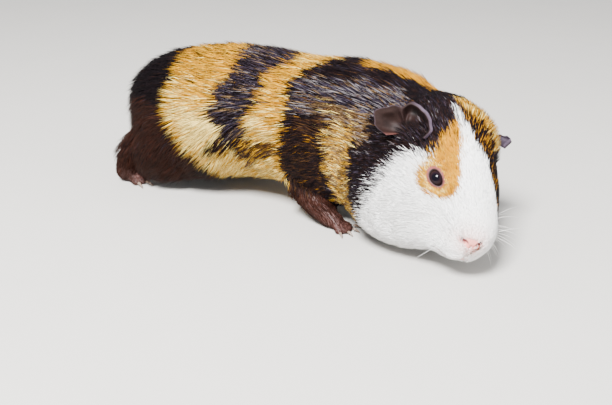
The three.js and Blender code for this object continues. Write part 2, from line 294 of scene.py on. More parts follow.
def made_plain(piece):
    """Turns a piece's evaluated shape into its mesh and takes its modifiers off."""
    graph = bpy.context.evaluated_depsgraph_get()
    mesh = bpy.data.meshes.new_from_object(
        piece.evaluated_get(graph), preserve_all_data_layers=True, depsgraph=graph
    )
    piece.modifiers.clear()
    old = piece.data
    piece.data = mesh
    bpy.data.meshes.remove(old)
    return piece


def add_node(tree, kind, settings=None, inputs=None):
    """Adds a node, sets its properties, and links or fills its inputs by name or number."""
    node = tree.nodes.new(kind)
    for name, value in (settings or {}).items():
        setattr(node, name, value)
    for key, value in (inputs or {}).items():
        if isinstance(key, int):
            socket = node.inputs[key]
        else:
            socket = next(s for s in node.inputs if s.name == key and s.enabled)
        if isinstance(value, bpy.types.NodeSocket):
            tree.links.new(value, socket)
        else:
            socket.default_value = value
    return node


# ---- Smooth noise and patches of colour ----


class Ripple:
    """Smooth noise of about one unit, as a sum of waves in random directions."""

    def __init__(self, rng, size, waves=14):
        ways = unit(rng.normal(size=(waves, 3)))
        self.waves = ways * (2 * math.pi / size) * rng.uniform(0.6, 1.5, (waves, 1))
        self.phases = rng.uniform(0, 2 * math.pi, waves)

    def __call__(self, points):
        return np.sin(points @ self.waves.T + self.phases).sum(1) / math.sqrt(len(self.phases) / 2)


# Angles go round the trunk, or the head, from 0 on top: below 0 to the right and above 0 to the left.
TRUNK_AXIS = (11.0, 42.0)  # y and z of the trunk's middle line


def round_trunk(points):
    return np.degrees(np.arctan2(points[:, 1] - TRUNK_AXIS[0], points[:, 2] - TRUNK_AXIS[1]))


def round_head(in_head):
    return np.degrees(np.arctan2(in_head[:, 1], in_head[:, 2]))


# Bands across the trunk, from the rear: each starts at this x at each of the angles, and is a mix of tones.
BAND_ANGLES = (-180, -130, -115, -100, -85, -75, -50, -25, 0, 30, 60, 95, 130, 180)
BANDS = {
    "rump": ({"black": 0.86, "brown": 0.12, "slate": 0.02}, None),
    "golden loin": (
        {"orange": 0.34, "gold": 0.42, "cream": 0.24},
        (-60, -50, -57, -67, -76, -77, -79, -84, -85, -82, -74, -68, -60, -60),
    ),
    "dark band": (
        {"black": 0.46, "brown": 0.1, "slate": 0.26, "tan": 0.08, "silver": 0.1},
        (-20, -22, -26, -39, -50, -50, -46, -43, -48, -52, -50, -54, -48, -20),
    ),
    "orange band": (
        {"orange": 0.36, "gold": 0.4, "cream": 0.24},
        (-20, -22, -22, -23, -25, -25.5, -23, -18, -16, -20, -28, -38, -44, -20),
    ),
    "shoulder": (
        {"black": 0.74, "brown": 0.13, "slate": 0.06, "chestnut": 0.07},
        (0, 0, -2, -5, -6, -6, -7, -6, 9, 14, 6, -6, -2, 2),
    ),
}

# Patches over the bands, each a mix of tones and an outline of x in millimetres and angle in degrees.
# A later patch lies over an earlier one.
TRUNK_PATCHES = {
    "haunch": (
        {"black": 0.12, "brown": 0.44, "russet": 0.38, "slate": 0.06},
        [
            (-130, -74), (-84, -77), (-77, -86), (-68, -99), (-58, -113), (-52, -130), (-52, -181),
            (-130, -181),
        ],
    ),
    "left haunch": (
        {"black": 0.2, "brown": 0.46, "russet": 0.34},
        [(-130, 96), (-92, 90), (-80, 92), (-70, 101), (-60, 113), (-52, 130), (-52, 181), (-130, 181)],
    ),
    # Cream-rich hair low on the flank: partly its own pale hair, partly a painted highlight where the light
    # falls there.
    "pale flank and painted highlight": (
        {"gold": 0.34, "cream": 0.66},
        [(-66, -72), (-52, -80), (-44, -88), (-40, -96), (-46, -101), (-56, -100), (-62, -90)],
    ),
    # Painted shadow: black and brown hair in a wedge where the haunch overhangs the belly, standing in for
    # the shade in that crease.
    "painted fold shadow": (
        {"black": 0.5, "brown": 0.38, "chestnut": 0.12},
        [(-50, -106), (-44, -101), (-37, -97), (-28, -93), (-20, -95), (-22, -99), (-36, -103), (-46, -109)],
    ),
    "under the fold": (
        {"black": 0.12, "brown": 0.24, "chestnut": 0.34, "tan": 0.1, "gold": 0.2},
        [(-30, -94), (-8, -93), (-4, -104), (-14, -108), (-24, -103)],
    ),
    "nape": (
        {"black": 0.2, "orange": 0.5, "gold": 0.3},
        [(26, -6), (39, -5), (51, -9), (66, -19), (78, -14), (76, 10), (58, 24), (38, 24), (26, 10)],
    ),
    "grizzle": (
        {"black": 0.4, "slate": 0.26, "chestnut": 0.06, "tan": 0.06, "silver": 0.22},
        [
            (-2, -34), (10, -34), (24, -26), (40, -22), (54, -26), (60, -44), (50, -58), (34, -60),
            (18, -60), (-3, -62),
        ],
    ),
    "shoulder tan": (
        {"black": 0.14, "brown": 0.16, "chestnut": 0.18, "tan": 0.34, "silver": 0.1, "cream": 0.08},
        [(8, -52), (20, -48), (36, -50), (46, -60), (42, -74), (24, -74), (18, -64)],
    ),
    "arm": (
        {"black": 0.5, "brown": 0.33, "chestnut": 0.13, "orange": 0.04},
        [(-2, -64), (20, -66), (24, -86), (28, -104), (26, -150), (2, -150), (-2, -104)],
    ),
    "collar": (
        {"brown": 0.12, "chestnut": 0.16, "gold": 0.26, "tan": 0.28, "cream": 0.18},
        [
            (22, -66), (36, -64), (35.5, -75), (37, -88), (39.5, -98), (44, -108), (47, -118), (43, -140),
            (31, -140), (27, -114), (25, -98), (22, -86), (21, -76),
        ],
    ),
    "left shoulder": (
        {"black": 0.14, "orange": 0.5, "gold": 0.36},
        [(8, 50), (30, 42), (44, 60), (40, 96), (20, 110), (4, 90)],
    ),
}
HEAD_MIX = {"black": 0.64, "brown": 0.18, "slate": 0.11, "silver": 0.07}  # of the crown round the ears
HEAD_PATCHES = {
    "white face": (
        {"white": 1.0},
        [
            (38, -180), (36, -135), (34, -127), (30.5, -120), (27, -116), (24.4, -108), (23.5, -94),
            (26, -77), (30, -66), (27.7, -52), (23.5, -41), (23, -30), (21, -17), (18, -12), (18.5, -8.6),
            (24, -3), (29.5, 4), (35.8, 15), (46, 20), (54, 27), (60, 42), (62, 60), (58, 80), (48, 95),
            (34, 105), (28, 120), (30, 140), (36, 160), (38, 180), (95, 180), (95, -180),
        ],
    ),
    "brow": (
        {"orange": 0.8, "gold": 0.2},
        [
            (17, -22), (21, -18.5), (28, -19), (38, -26), (46, -35), (52.8, -48), (54.2, -60), (52, -77),
            (47, -91), (41, -93), (37, -88), (34, -74), (30, -62), (27.7, -52), (23.5, -41), (21.3, -32),
            (19, -26),
        ],
    ),
    "eye ring": (
        {"orange": 0.3, "gold": 0.4, "cream": 0.3},
        [(33, -64), (38, -54), (47, -52), (52, -62), (51, -78), (45, -88), (38, -84)],
    ),
    "white streak": (
        {"slate": 0.2, "white": 0.8},
        [(9, -19), (15, -20), (22, -19), (24, -14), (18, -12), (10, -15)],
    ),
    "left stripe": (
        {"black": 0.72, "brown": 0.1, "orange": 0.18},
        [
            (10, -9), (18.5, -8.6), (24, -3), (29.5, 4), (35.8, 15), (46, 20), (54, 27), (60, 42), (44, 40),
            (30, 32), (20, 20), (10, 2),
        ],
    ),
    "left crown": (
        {"black": 0.3, "chestnut": 0.1, "orange": 0.2, "gold": 0.2, "cream": 0.2},
        [(-10, -10), (10, -10), (14, 10), (21, 24), (28, 38), (20, 62), (2, 66), (-12, 40)],
    ),
    "left eye": (
        {"black": 0.7, "brown": 0.3},
        [(30, 32), (44, 38), (58, 42), (61, 60), (56, 80), (46, 94), (32, 98), (22, 80), (24, 50)],
    ),
}
DEGREE_ON_TRUNK, DEGREE_ON_HEAD = 0.62, 0.4  # millimetres of coat for each degree


def depth_inside(x, angle, outline, degree):
    """How far points lie inside a closed outline, in millimetres, and below 0 outside it."""
    px, py = x, angle * degree
    corners = np.array(outline, float) * [1, degree]
    nearest = np.full(len(px), np.inf)
    inside = np.zeros(len(px), bool)
    for (ax, ay), (bx, by) in zip(corners, np.roll(corners, -1, axis=0)):
        dx, dy = bx - ax, by - ay
        t = np.clip(((px - ax) * dx + (py - ay) * dy) / max(dx * dx + dy * dy, 1e-9), 0, 1)
        nearest = np.minimum(nearest, np.hypot(px - ax - t * dx, py - ay - t * dy))
        if ay != by:
            crosses = (ay > py) != (by > py)
            inside ^= crosses & (px < dx * (py - ay) / dy + ax)
    return np.where(inside, nearest, -nearest)


def head_share(in_head):
    """1 on the head and 0 on the neck."""
    return smoothstep(-4, 8, in_head[:, 0] + 0.15 * in_head[:, 2])


def mix_at(points, wander, head_wander):
    """For each point the number of its mix of tones, from the bands and patches."""
    in_head = to_head(points)
    angle = round_trunk(points)
    x = points[:, 0] + wander
    mixes = []
    chosen = np.zeros(len(points), int)
    for mix, starts in BANDS.values():
        mixes.append(mix)
        if starts:
            chosen[x > np.interp(angle, BAND_ANGLES, starts)] = len(mixes) - 1
    for name, (mix, outline) in TRUNK_PATCHES.items():
        mixes.append(mix)
        mine = depth_inside(points[:, 0], angle, outline, DEGREE_ON_TRUNK) + wander > 0
        chosen[mine] = len(mixes) - 1
        if name == "collar":
            on_collar = mine
    on_head = head_share(in_head) > 0.5
    mixes.append(HEAD_MIX)
    chosen[on_head & ~on_collar] = len(mixes) - 1
    for mix, outline in HEAD_PATCHES.values():
        mixes.append(mix)
        depth = depth_inside(in_head[:, 0], round_head(in_head), outline, DEGREE_ON_HEAD)
        chosen[on_head & (depth + head_wander > 0)] = len(mixes) - 1
    return chosen, mixes


# The coat's tones, from dark to light.
TONES = (
    "black", "brown", "russet", "slate", "chestnut", "orange", "gold", "tan", "silver", "cream", "white"
)


def tone_colours():
    coat = bpy.context.scene.guinea_pig_coat
    return {name: np.array(getattr(coat, name)) for name in TONES}


# ---- Hair length and lie ----


LEG_WAYS = {  # the way that the hair runs on each lower leg
    "hind_foot_right": (-0.4, 0.0, -0.9),
    "hind_foot_left": (1.0, 0.0, -0.2),
    "fore_leg_right": (0.7, -0.1, -0.7),
    "fore_leg_left": (0.7, 0.0, -0.7),
}
ON_LEG, OFF_LEG = 0.8, 3.0  # distances from a leg's outline, in millimetres


def leg_shares(points):
    """How much each point belongs to a lower leg, and which way that leg's hair runs."""
    share = np.zeros(len(points))
    way = np.zeros((len(points), 3))
    for name, direction in LEG_WAYS.items():
        low, high = (np.array(c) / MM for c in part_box(name))
        near = ((points > low - OFF_LEG) & (points < high + OFF_LEG)).all(1)
        if not near.any():
            continue
        tree = surface_of(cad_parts[name].data)
        far = np.array([tree.find_nearest(Vector(p * MM))[3] for p in points[near]]) / MM
        mine = 1 - smoothstep(ON_LEG, OFF_LEG, far)
        better = mine > share[near]
        index = np.where(near)[0][better]
        share[index] = mine[better]
        way[index] = direction
    return share, way


def hair_length(points, in_head, legs):
    """Length of the hair, in millimetres."""
    coat = bpy.context.scene.guinea_pig_coat
    x = in_head[:, 0]
    along_head = (coat.crown + 3, coat.crown + 1, coat.face + 2, coat.face - 0.4, coat.muzzle)
    head = np.interp(x, (-6, 12, 34, 54, 68), along_head)
    low = smoothstep(-4, -20, in_head[:, 2])  # cheeks and throat are a little longer
    head = head + low * np.interp(x, (10, 40, 64), (3.0, 2.0, 0.4))
    for side in SIDES:  # and the hair is shortest round the eyes
        eye = np.linalg.norm(in_head - on_side(EYE_IN_HEAD, side), axis=1)
        head = np.minimum(head, 1.0 + 4.5 * smoothstep(5, 15, eye))
    made = coat.back + (head - coat.back) * smoothstep(-22, 6, x)
    made = made * (1 + 0.3 * ruffled(in_head) + 0.25 * beside_ear(in_head, -1) + 0.6 * whisker_pads(in_head))
    made = made * (1 - 0.72 * beside_ear(in_head, 1))
    foot = coat.foot * np.interp(points[:, 2], (4, 10, 22, 40), (0.7, 1.4, 3.6, 5.5))
    return made + (foot - made) * legs


def hair_way(points, in_head, normals, legs, leg_way):
    """The way that the hair runs over the skin: backward, and downward on the flanks, rump and cheeks."""
    angle = round_trunk(points)
    low = smoothstep(48, 108, np.abs(angle))
    trunk = np.stack([-np.ones(len(points)), 0.08 * np.sign(angle), -1.05 * low], 1)
    rump = smoothstep(-70, -105, points[:, 0])[:, None]
    trunk = trunk + rump * np.array([0.35, 0, -0.6])
    head_side = in_head[:, 1] / (np.abs(in_head[:, 1]) + 8)
    cheek = smoothstep(10, -6, in_head[:, 2]) * smoothstep(66, 46, in_head[:, 0])
    head = np.stack([-np.ones(len(points)), 0.2 * head_side, -0.95 * cheek], 1) @ HEAD_AXES.T
    share = smoothstep(-34, 14, in_head[:, 0])[:, None]
    made = trunk * (1 - share) + head * share
    made = made * (1 - legs[:, None]) + leg_way * legs[:, None]
    made = made - (made * normals).sum(1, keepdims=True) * normals
    return unit(made)


# ---- Skin ----

FLESH = (
    "head", "neck", "trunk", "thigh_right", "thigh_left",
    "hind_foot_right", "hind_foot_left", "fore_leg_right", "fore_leg_left",
)
VOXEL = 1.2  # grain of the skin's mesh, in millimetres
FINE_REACHES = (11.5, 9.5)  # the mesh is halved within each of these of the eyes and of the nose
CUT_HALF = 0.25  # each piece is grown by this, so that the thin cuts between them close
COAT_SHARE = 0.27  # the skin lies this share of the hair's length inside the coat's outline
EVEN_ALL, EVEN_BODY, EVEN_HEAD = 16, 90, 24  # passes that even out the joints between the solids
EVEN_DEPTH, EVEN_FINE, EVEN_LEGS = 30, 6, 12


def joined_flesh():
    """All flesh and both eyeballs as one closed mesh."""
    shape = bmesh.new()
    for name in FLESH + ("eye_left", "eye_right"):
        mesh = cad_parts[name].data.copy()
        part = bmesh.new()
        part.from_mesh(mesh)
        bmesh.ops.remove_doubles(part, verts=part.verts, dist=1e-6)
        part.normal_update()
        for vertex in part.verts:
            vertex.co += vertex.normal * CUT_HALF * MM
        part.to_mesh(mesh)
        shape.from_mesh(mesh)
        part.free()
        bpy.data.meshes.remove(mesh)
    mesh = bpy.data.meshes.new("skin")
    shape.to_mesh(mesh)
    shape.free()
    return mesh


def refine(mesh, reach):
    """Halves the edges that lie within a reach of the eyes or the nose."""
    shape = bmesh.new()
    shape.from_mesh(mesh)
    keep = near_eyes_and_nose(points_of(mesh), reach)
    edges = [e for e in shape.edges if keep[e.verts[0].index] and keep[e.verts[1].index]]
    bmesh.ops.subdivide_edges(shape, edges=edges, cuts=1, use_grid_fill=True)
    shape.to_mesh(mesh)
    shape.free()
    mesh.update()


def near_eyes_and_nose(points, reach):
    """Whether points lie within a reach of an eye's middle or of the nose."""
    in_head = to_head(points)
    near = np.linalg.norm(in_head - NOSE_AT - LIPS_FROM_NOSE, axis=1) < reach * 1.25
    for side in SIDES:
        near |= np.linalg.norm(in_head - on_side(EYE_IN_HEAD, side), axis=1) < reach
    return near


EYE_WAY = unit(np.array([0.33, 0.77, 0.54]))  # the way a left eye looks, in the head's frame
LID_TILT = math.radians(-9)  # the front corner of the lids lies a little lower than the rear one
LID_REACH = 2.4  # the lids blend into the face over this many openings
LID_FOLD = 1.14  # the lids' edge stands highest at this many openings
LID_THICK = 0.5  # of the lids' edge over the eyeball, in millimetres


def eye_axes(side):
    """The eye's own axes in the head's frame: to its front corner, upward, and out."""
    out = on_side(EYE_WAY, side)
    front = unit(np.array([1.0, 0, -math.tan(LID_TILT)]))
    front = unit(front - front @ out * out)
    return np.stack([front, np.cross(out, front) * side, out])


def with_lids(in_head):
    """Lays the skin over each eyeball as a rim of lids round an oval opening."""
    face = bpy.context.scene.guinea_pig_face
    for side in SIDES:
        axes, eye = eye_axes(side), on_side(EYE_IN_HEAD, side)
        local = (in_head - eye) @ axes.T
        along, up, out = local.T
        r = np.hypot(along, up)
        oval = np.hypot(along / face.lid_long, up / face.lid_high)
        opening = 1 / np.maximum(oval / np.maximum(r, 1e-6), 1e-6)
        s = r / opening
        ball = np.sqrt(np.maximum(face.eye_radius**2 - r**2, 0))
        edge = np.sqrt(np.maximum(face.eye_radius**2 - opening**2, 0)) + LID_THICK
        rim = edge - 0.8 * smoothstep(1.1, 1.7, s) + 0.3 * bell(s, LID_FOLD, 0.1)
        blend = smoothstep(1.3, LID_REACH, s)
        outside = rim * (1 - blend) + out * blend
        inside = np.minimum(ball - LID_THICK, edge)
        wanted = inside + (outside - inside) * smoothstep(0.9, 1.04, s)
        mine = (out > 0) & (s < LID_REACH)
        local[:, 2] = np.where(mine, wanted, out)
        in_head = np.where(mine[:, None], local @ axes + eye, in_head)
    return in_head


NOSE_AT = np.array([74.6, -4.3, 2.8])
LIPS_FROM_NOSE = (0, 0, -5)
NOSE_ROLL = math.radians(13)  # the nose is twitched up on its left
NOSE_WAY = np.array([0.94, 0, -0.34])  # the way that the tip of the muzzle is pushed out
NOSTRIL = (3.5, 0.2)  # the nostril's distance from the middle line and its height
MOUTH_DROP = 10.0  # the lips meet this far under the nose in the middle
LIP_DROP = 5.5  # and this much lower at the sides


def to_nose(in_head):
    """Places ahead of, left of and above the nose's middle."""
    q = in_head - NOSE_AT
    c, s = math.cos(NOSE_ROLL), math.sin(NOSE_ROLL)
    return np.stack([q[:, 0], c * q[:, 1] + s * q[:, 2], c * q[:, 2] - s * q[:, 1]], 1)


def above_lips(q):
    """Height over the line where the lips meet, which falls on both sides of the cleft."""
    return q[:, 2] + MOUTH_DROP + LIP_DROP * (1 - np.exp(-((np.abs(q[:, 1]) / 2.6) ** 1.6)))


def with_nose(in_head):
    """Shapes the nose pad, nostrils, cleft and mouth on the tip of the muzzle."""
    q = to_nose(in_head)
    front = smoothstep(-13, -5, q[:, 0])
    across = np.abs(q[:, 1])
    push = 0.8 * bell(q[:, 1], 0, 5.0) * bell(q[:, 2], 0.2, 3.0)  # the nose pad
    away, high = across - NOSTRIL[0], q[:, 2] - NOSTRIL[1]
    along, over = 0.8 * away + 0.6 * high, 0.8 * high - 0.6 * away
    push -= 2.6 * bell(along, 0, 1.7) * bell(over, 0, 0.8)  # a slanting nostril with a wing over it
    push += 0.5 * bell(along, 0.3, 1.9) * bell(over, 1.35, 0.6)
    cleft = bell(q[:, 1], 0, 0.5) * smoothstep(0.2, -1.8, q[:, 2]) * smoothstep(-10.5, -8, q[:, 2])
    push -= 1.1 * cleft
    lips = above_lips(q)
    push -= 1.8 * bell(lips, 0, 0.55) * smoothstep(11, 7, across)  # the gap between full lips
    push += 0.9 * bell(lips, 2.4, 1.7) * bell(across, 3.6, 3.0)  # the upper lips
    push += 0.5 * bell(lips, -1.6, 1.1) * smoothstep(7, 3, across)  # the lower lip
    return in_head + (push * front)[:, None] * NOSE_WAY


def skin_mesh():
    """One smooth skin under the coat, with lids, nose and mouth."""
    mesh = joined_flesh()
    piece = new_object("skin_body", mesh)
    remesh = piece.modifiers.new("Even", "REMESH")
    remesh.mode = "VOXEL"
    remesh.voxel_size = VOXEL * MM
    mesh = made_plain(piece).data
    points, edges = points_of(mesh), edges_of(mesh)
    in_head = to_head(points)
    feet = smoothstep(22, 12, points[:, 2])
    body = (1 - smoothstep(-10, 10, in_head[:, 0])) * (1 - feet)
    points = smoothed(points, edges, EVEN_ALL)
    points = smoothed(points, edges, EVEN_BODY, weight=body[:, None])
    points = smoothed(points, edges, EVEN_HEAD, weight=((1 - body) * (1 - feet))[:, None])
    set_points(mesh, points)
    legs = smoothed(leg_shares(points)[0], edges, EVEN_LEGS, grow_back=False)
    depth = COAT_SHARE * hair_length(points, to_head(points), legs)
    depth = smoothed(depth, edges, EVEN_DEPTH, grow_back=False)
    set_points(mesh, points - normals_of(mesh) * depth[:, None])
    settle(mesh)
    for reach in FINE_REACHES:
        refine(mesh, reach)
    points, edges = points_of(mesh), edges_of(mesh)
    near = near_eyes_and_nose(points, FINE_REACHES[0]).astype(float)
    points = smoothed(points, edges, EVEN_FINE, weight=near[:, None])
    in_head = with_nose(with_lids(to_head(points)))
    set_points(mesh, from_head(in_head))
    mesh.shade_smooth()
    return piece


# ---- Ears ----

# The rim's knots go round the ear from its front end: an angle in degrees and a reach in millimetres.
EAR_RIMS = {
    -1: [
        (-2, 11), (20, 13.8), (56, 14.6), (88, 15), (109, 12.4), (133, 14.4), (158, 17.6), (175, 15),
        (203, 8),
    ],
    1: [
        (14, 8), (22, 12.8), (40, 11.8), (56, 11), (88, 12.3), (109, 11.5), (133, 14), (158, 16.6),
        (175, 14), (203, 8),
    ],
}
EAR_POSES = {  # root, facing and upward in the head's frame, with y measured outward
    -1: ((17.4, 27.4, 5.5), (0.5, 0.72, 0.47), (-0.6, 0.1, 0.8)),
    1: ((16.3, 26.0, 4.3), (0.43, 0.88, -0.2), (-0.85, 0.47, 0.24)),
}
EAR_SPOKES, EAR_RINGS = 110, 30  # the mesh's lines round the ear and out from its root
EAR_HEART = 0.08  # the sheet starts at this share of its reach
EAR_THICK, EAR_THINNER = 1.2, 0.65  # thickness at the root and how much less it is at the rim
EAR_BACK = 0.6  # shade of the ears' backs, as a share of the rim's
EAR_CUPS = {-1: (5.0, 0.0), 1: (3.4, 1.4)}  # depth of each ear's cup and how far it stands off the head
EAR_NOTCH = 110  # angle of the notch between the front rim and the rear lobe, in degrees


def ear_reach(angle, side):
    """Distance of the rim from the ear's root, eased between its knots."""
    angles, reaches = np.array(EAR_RIMS[side], float).T
    i = np.clip(np.searchsorted(angles, angle) - 1, 0, len(angles) - 2)
    t = smoothstep(0, 1, (angle - angles[i]) / (angles[i + 1] - angles[i]))
    wave = 0.1 * np.sin(np.radians(angle) * 9 + 0.7) + 0.06 * np.sin(np.radians(angle) * 21)
    return reaches[i] + (reaches[i + 1] - reaches[i]) * t + wave


def ear_lift(angle, share, side):
    """How far the ear's sheet stands out: a cup with a rolled front rim and hollows beside a ridge."""
    front = smoothstep(EAR_NOTCH + 2, EAR_NOTCH - 12, angle)
    rear = smoothstep(EAR_NOTCH, EAR_NOTCH + 12, angle)
    cup, stand = EAR_CUPS[side]
    lift = cup * (share**2 - 0.55) + stand
    lift -= 2.6 * front * bell(share, 0.66, 0.2) * smoothstep(-6, 25, angle)  # the front hollow
    lift += 1.7 * front * bell(share, 0.91, 0.055) - 1.3 * front * smoothstep(0.93, 1.0, share)  # its rim
    lift += 2.0 * bell(angle, 84, 15) * bell(share, 0.5, 0.2)  # a ridge, and the fold at the notch
    lift += 1.5 * bell(angle, EAR_NOTCH, 8) * smoothstep(0.25, 0.6, share) * smoothstep(1.05, 0.8, share)
    lift -= 1.5 * rear * bell(angle, 150, 26) * bell(share, 0.5, 0.24)  # the rear hollow and its swelling
    lift += 0.8 * rear * bell(share, 0.8, 0.1) * bell(angle, 140, 16)
    lift += 2.0 * smoothstep(186, 203, angle) * share  # the rear end turns out
    lift += 0.35 * np.sin(np.radians(angle) * 7 + 1.3) * bell(share, 0.75, 0.25)
    return lift


def ear_colours(angle, share):
    """Dark skin, reddish on the thin rear lobe and grey on the rolled rim, near-black in the hollows with
    painted shade, and faint painted highlights on the rear lobe.
    """
    face = bpy.context.scene.guinea_pig_face
    colours = np.broadcast_to(np.array(face.ear), (*angle.shape, 3))
    front = smoothstep(EAR_NOTCH + 4, EAR_NOTCH - 8, angle)
    rear = smoothstep(EAR_NOTCH + 2, EAR_NOTCH + 26, angle)
    for weight, tone in (
        (0.8 * rear * smoothstep(0.25, 0.6, share), face.lobe),
        (0.55 * bell(angle, 86, 14) * bell(share, 0.55, 0.22), face.lobe),
        # painted shadow under the rolled front rim
        (front * bell(share, 0.72, 0.13) * smoothstep(96, 80, angle), face.hollow),
        # the dark canal round the ear's root, with painted shade in the cup
        (smoothstep(0.5, 0.3, share) * (1 - 0.75 * rear), face.hollow),
        # painted shade in the rear hollow
        (0.5 * bell(angle, 168, 10) * bell(share, 0.62, 0.12), face.hollow),
        (front * smoothstep(0.92, 0.96, share) * smoothstep(96, 66, angle), face.rim),
        # painted highlight: a faint grey line along the rear lobe's edge
        (0.3 * (1 - front) * smoothstep(0.96, 1.0, share), face.rim),
        # painted highlight: a faint pink on the lit edge of the turned-out rear end
        (0.07 * smoothstep(190, 200, angle) * smoothstep(0.3, 0.6, share), face.pink),
    ):
        colours = colours + (np.array(tone) - colours) * np.clip(weight, 0, 1)[..., None]
    return colours


def ear_mesh(side):
    """A thin cupped petal that follows the lift and the rim."""
    root, facing, upward = (np.array(v) for v in EAR_POSES[side])
    out = unit(facing)
    up = unit(upward - upward @ out * out)
    fore = np.cross(out, up)
    spokes = np.linspace(EAR_RIMS[side][0][0], EAR_RIMS[side][-1][0], EAR_SPOKES)
    shares = np.linspace(EAR_HEART, 1, EAR_RINGS)
    angle, share = np.meshgrid(spokes, shares, indexing="ij")
    reach = ear_reach(angle, side) * share
    lift = ear_lift(angle, share, side)
    layers = []
    ahead, above = reach * np.cos(np.radians(angle)), reach * np.sin(np.radians(angle))
    for layer in (0, 1):
        thickness = (EAR_THICK - EAR_THINNER * share) * (layer - 1)
        local = root + ahead[..., None] * fore + above[..., None] * up + (lift + thickness)[..., None] * out
        layers.append(on_side(local.reshape(-1, 3), side))
    points = np.concatenate(layers)
    count = EAR_SPOKES * EAR_RINGS
    faces = []
    for s in range(EAR_SPOKES - 1):
        for r in range(EAR_RINGS - 1):
            a, b = s * EAR_RINGS + r, (s + 1) * EAR_RINGS + r
            faces.append((a + count, a + 1 + count, b + 1 + count, b + count))
            faces.append((a, b, b + 1, a + 1))
    rim = [s * EAR_RINGS + EAR_RINGS - 1 for s in range(EAR_SPOKES)]
    heart = [s * EAR_RINGS for s in range(EAR_SPOKES)]
    front = list(range(EAR_RINGS))
    back = [(EAR_SPOKES - 1) * EAR_RINGS + r for r in range(EAR_RINGS)]
    for loop, turn in ((rim, 1), (heart, -1), (front, 1), (back, -1)):
        for a, b in zip(loop, loop[1:]):
            faces.append((a, b, b + count, a + count) if turn > 0 else (b, a, a + count, b + count))
    mesh = bpy.data.meshes.new("ear")
    mesh.from_pydata((from_head(points) * MM).tolist(), [], faces)
    faced_out(mesh)
    inner = ear_colours(angle, share).reshape(-1, 3)
    outer = np.broadcast_to(np.array(bpy.context.scene.guinea_pig_face.rim) * EAR_BACK, inner.shape)
    put(mesh, "markings", "FLOAT_COLOR", "POINT", opaque(np.concatenate([outer, inner])))
    return mesh


# ---- Materials ----

# A noise's Scale is 1 over the size of its patches in metres.
PORE_SCALE = 2500.0  # pores 0.4 mm apart
MOTTLE_SCALE = 420.0  # mottled patches of ear skin 2.4 mm across
# Streaks 3.3 mm long and 0.33 mm wide: real fibres are too fine to show, so these are coarser.
FIBRE_SCALE = (300.0, 3000.0, 3000.0)
WHISKER_SCALE = 300.0  # tones that change every 3.3 mm along a whisker
BOARD_SCALE = 25.0  # unevenness 40 mm across


def material_of(name):
    """A new material with an empty tree but for its Principled shader and output."""
    material = bpy.data.materials.new(name)
    material.use_nodes = True
    tree = material.node_tree
    shader = next(n for n in tree.nodes if n.type == "BSDF_PRINCIPLED")
    return material, tree, shader


def hair_material():
    """Guard hair: keratin under smooth overlapping scales, so a soft gloss, and darker toward its root."""
    material, tree, shader = material_of("guard_hair")
    shade = add_node(tree, "ShaderNodeAttribute", {"attribute_name": "shade"})
    along = add_node(tree, "ShaderNodeAttribute", {"attribute_name": "along"})
    ramp = add_node(
        tree,
        "ShaderNodeMapRange",
        {},
        {"Value": along.outputs["Fac"], "From Max": 0.7, "To Min": shade.outputs["Alpha"], "To Max": 1.04},
    )
    colour = add_node(
        tree,
        "ShaderNodeVectorMath",
        {"operation": "SCALE"},
        {0: shade.outputs["Color"], "Scale": ramp.outputs["Result"]},
    )
    tree.links.new(colour.outputs["Vector"], shader.inputs["Base Color"])
    shader.inputs["Roughness"].default_value = 0.55
    shader.inputs["Specular IOR Level"].default_value = 0.06
    return material


def hide_material():
    """Hide, the living skin between the hairs: soft and matt, with fine pores, and light passes into it."""
    material, tree, shader = material_of("hide")
    marks = add_node(tree, "ShaderNodeAttribute", {"attribute_name": "markings"})
    place = add_node(tree, "ShaderNodeTexCoord")
    pores = add_node(
        tree,
        "ShaderNodeTexNoise",
        {},
        {"Vector": place.outputs["Object"], "Scale": PORE_SCALE, "Detail": 2.0},
    )
    ramp = add_node(
        tree, "ShaderNodeMapRange", {}, {"Value": pores.outputs["Fac"], "To Min": 0.85, "To Max": 1.1}
    )
    colour = add_node(
        tree,
        "ShaderNodeVectorMath",
        {"operation": "SCALE"},
        {0: marks.outputs["Color"], "Scale": ramp.outputs["Result"]},
    )
    bump = add_node(
        tree, "ShaderNodeBump", {}, {"Strength": 0.4, "Distance": 0.0002, "Height": pores.outputs["Fac"]}
    )
    tree.links.new(colour.outputs["Vector"], shader.inputs["Base Color"])
    tree.links.new(bump.outputs["Normal"], shader.inputs["Normal"])
    shader.inputs["Roughness"].default_value = 0.6
    shader.inputs["Subsurface Weight"].default_value = 0.08
    shader.inputs["Subsurface Radius"].default_value = (0.002, 0.0008, 0.0005)
    return material


def ear_material():
    """Thin bare ear skin over cartilage: smooth and mottled, with a dull gloss from its oil."""
    material, tree, shader = material_of("ear_skin")
    marks = add_node(tree, "ShaderNodeAttribute", {"attribute_name": "markings"})
    place = add_node(tree, "ShaderNodeTexCoord")
    veins = add_node(
        tree,
        "ShaderNodeTexNoise",
        {},
        {"Vector": place.outputs["Object"], "Scale": MOTTLE_SCALE, "Detail": 4.0, "Distortion": 1.2},
    )
    mottle = add_node(
        tree, "ShaderNodeMapRange", {}, {"Value": veins.outputs["Fac"], "To Min": 0.5, "To Max": 1.5}
    )
    colour = add_node(
        tree,
        "ShaderNodeVectorMath",
        {"operation": "SCALE"},
        {0: marks.outputs["Color"], "Scale": mottle.outputs["Result"]},
    )
    bump = add_node(
        tree, "ShaderNodeBump", {}, {"Strength": 0.35, "Distance": 0.0004, "Height": veins.outputs["Fac"]}
    )
    tree.links.new(colour.outputs["Vector"], shader.inputs["Base Color"])
    tree.links.new(bump.outputs["Normal"], shader.inputs["Normal"])
    shader.inputs["Roughness"].default_value = 0.62
    shader.inputs["Specular IOR Level"].default_value = 0.14
    return material


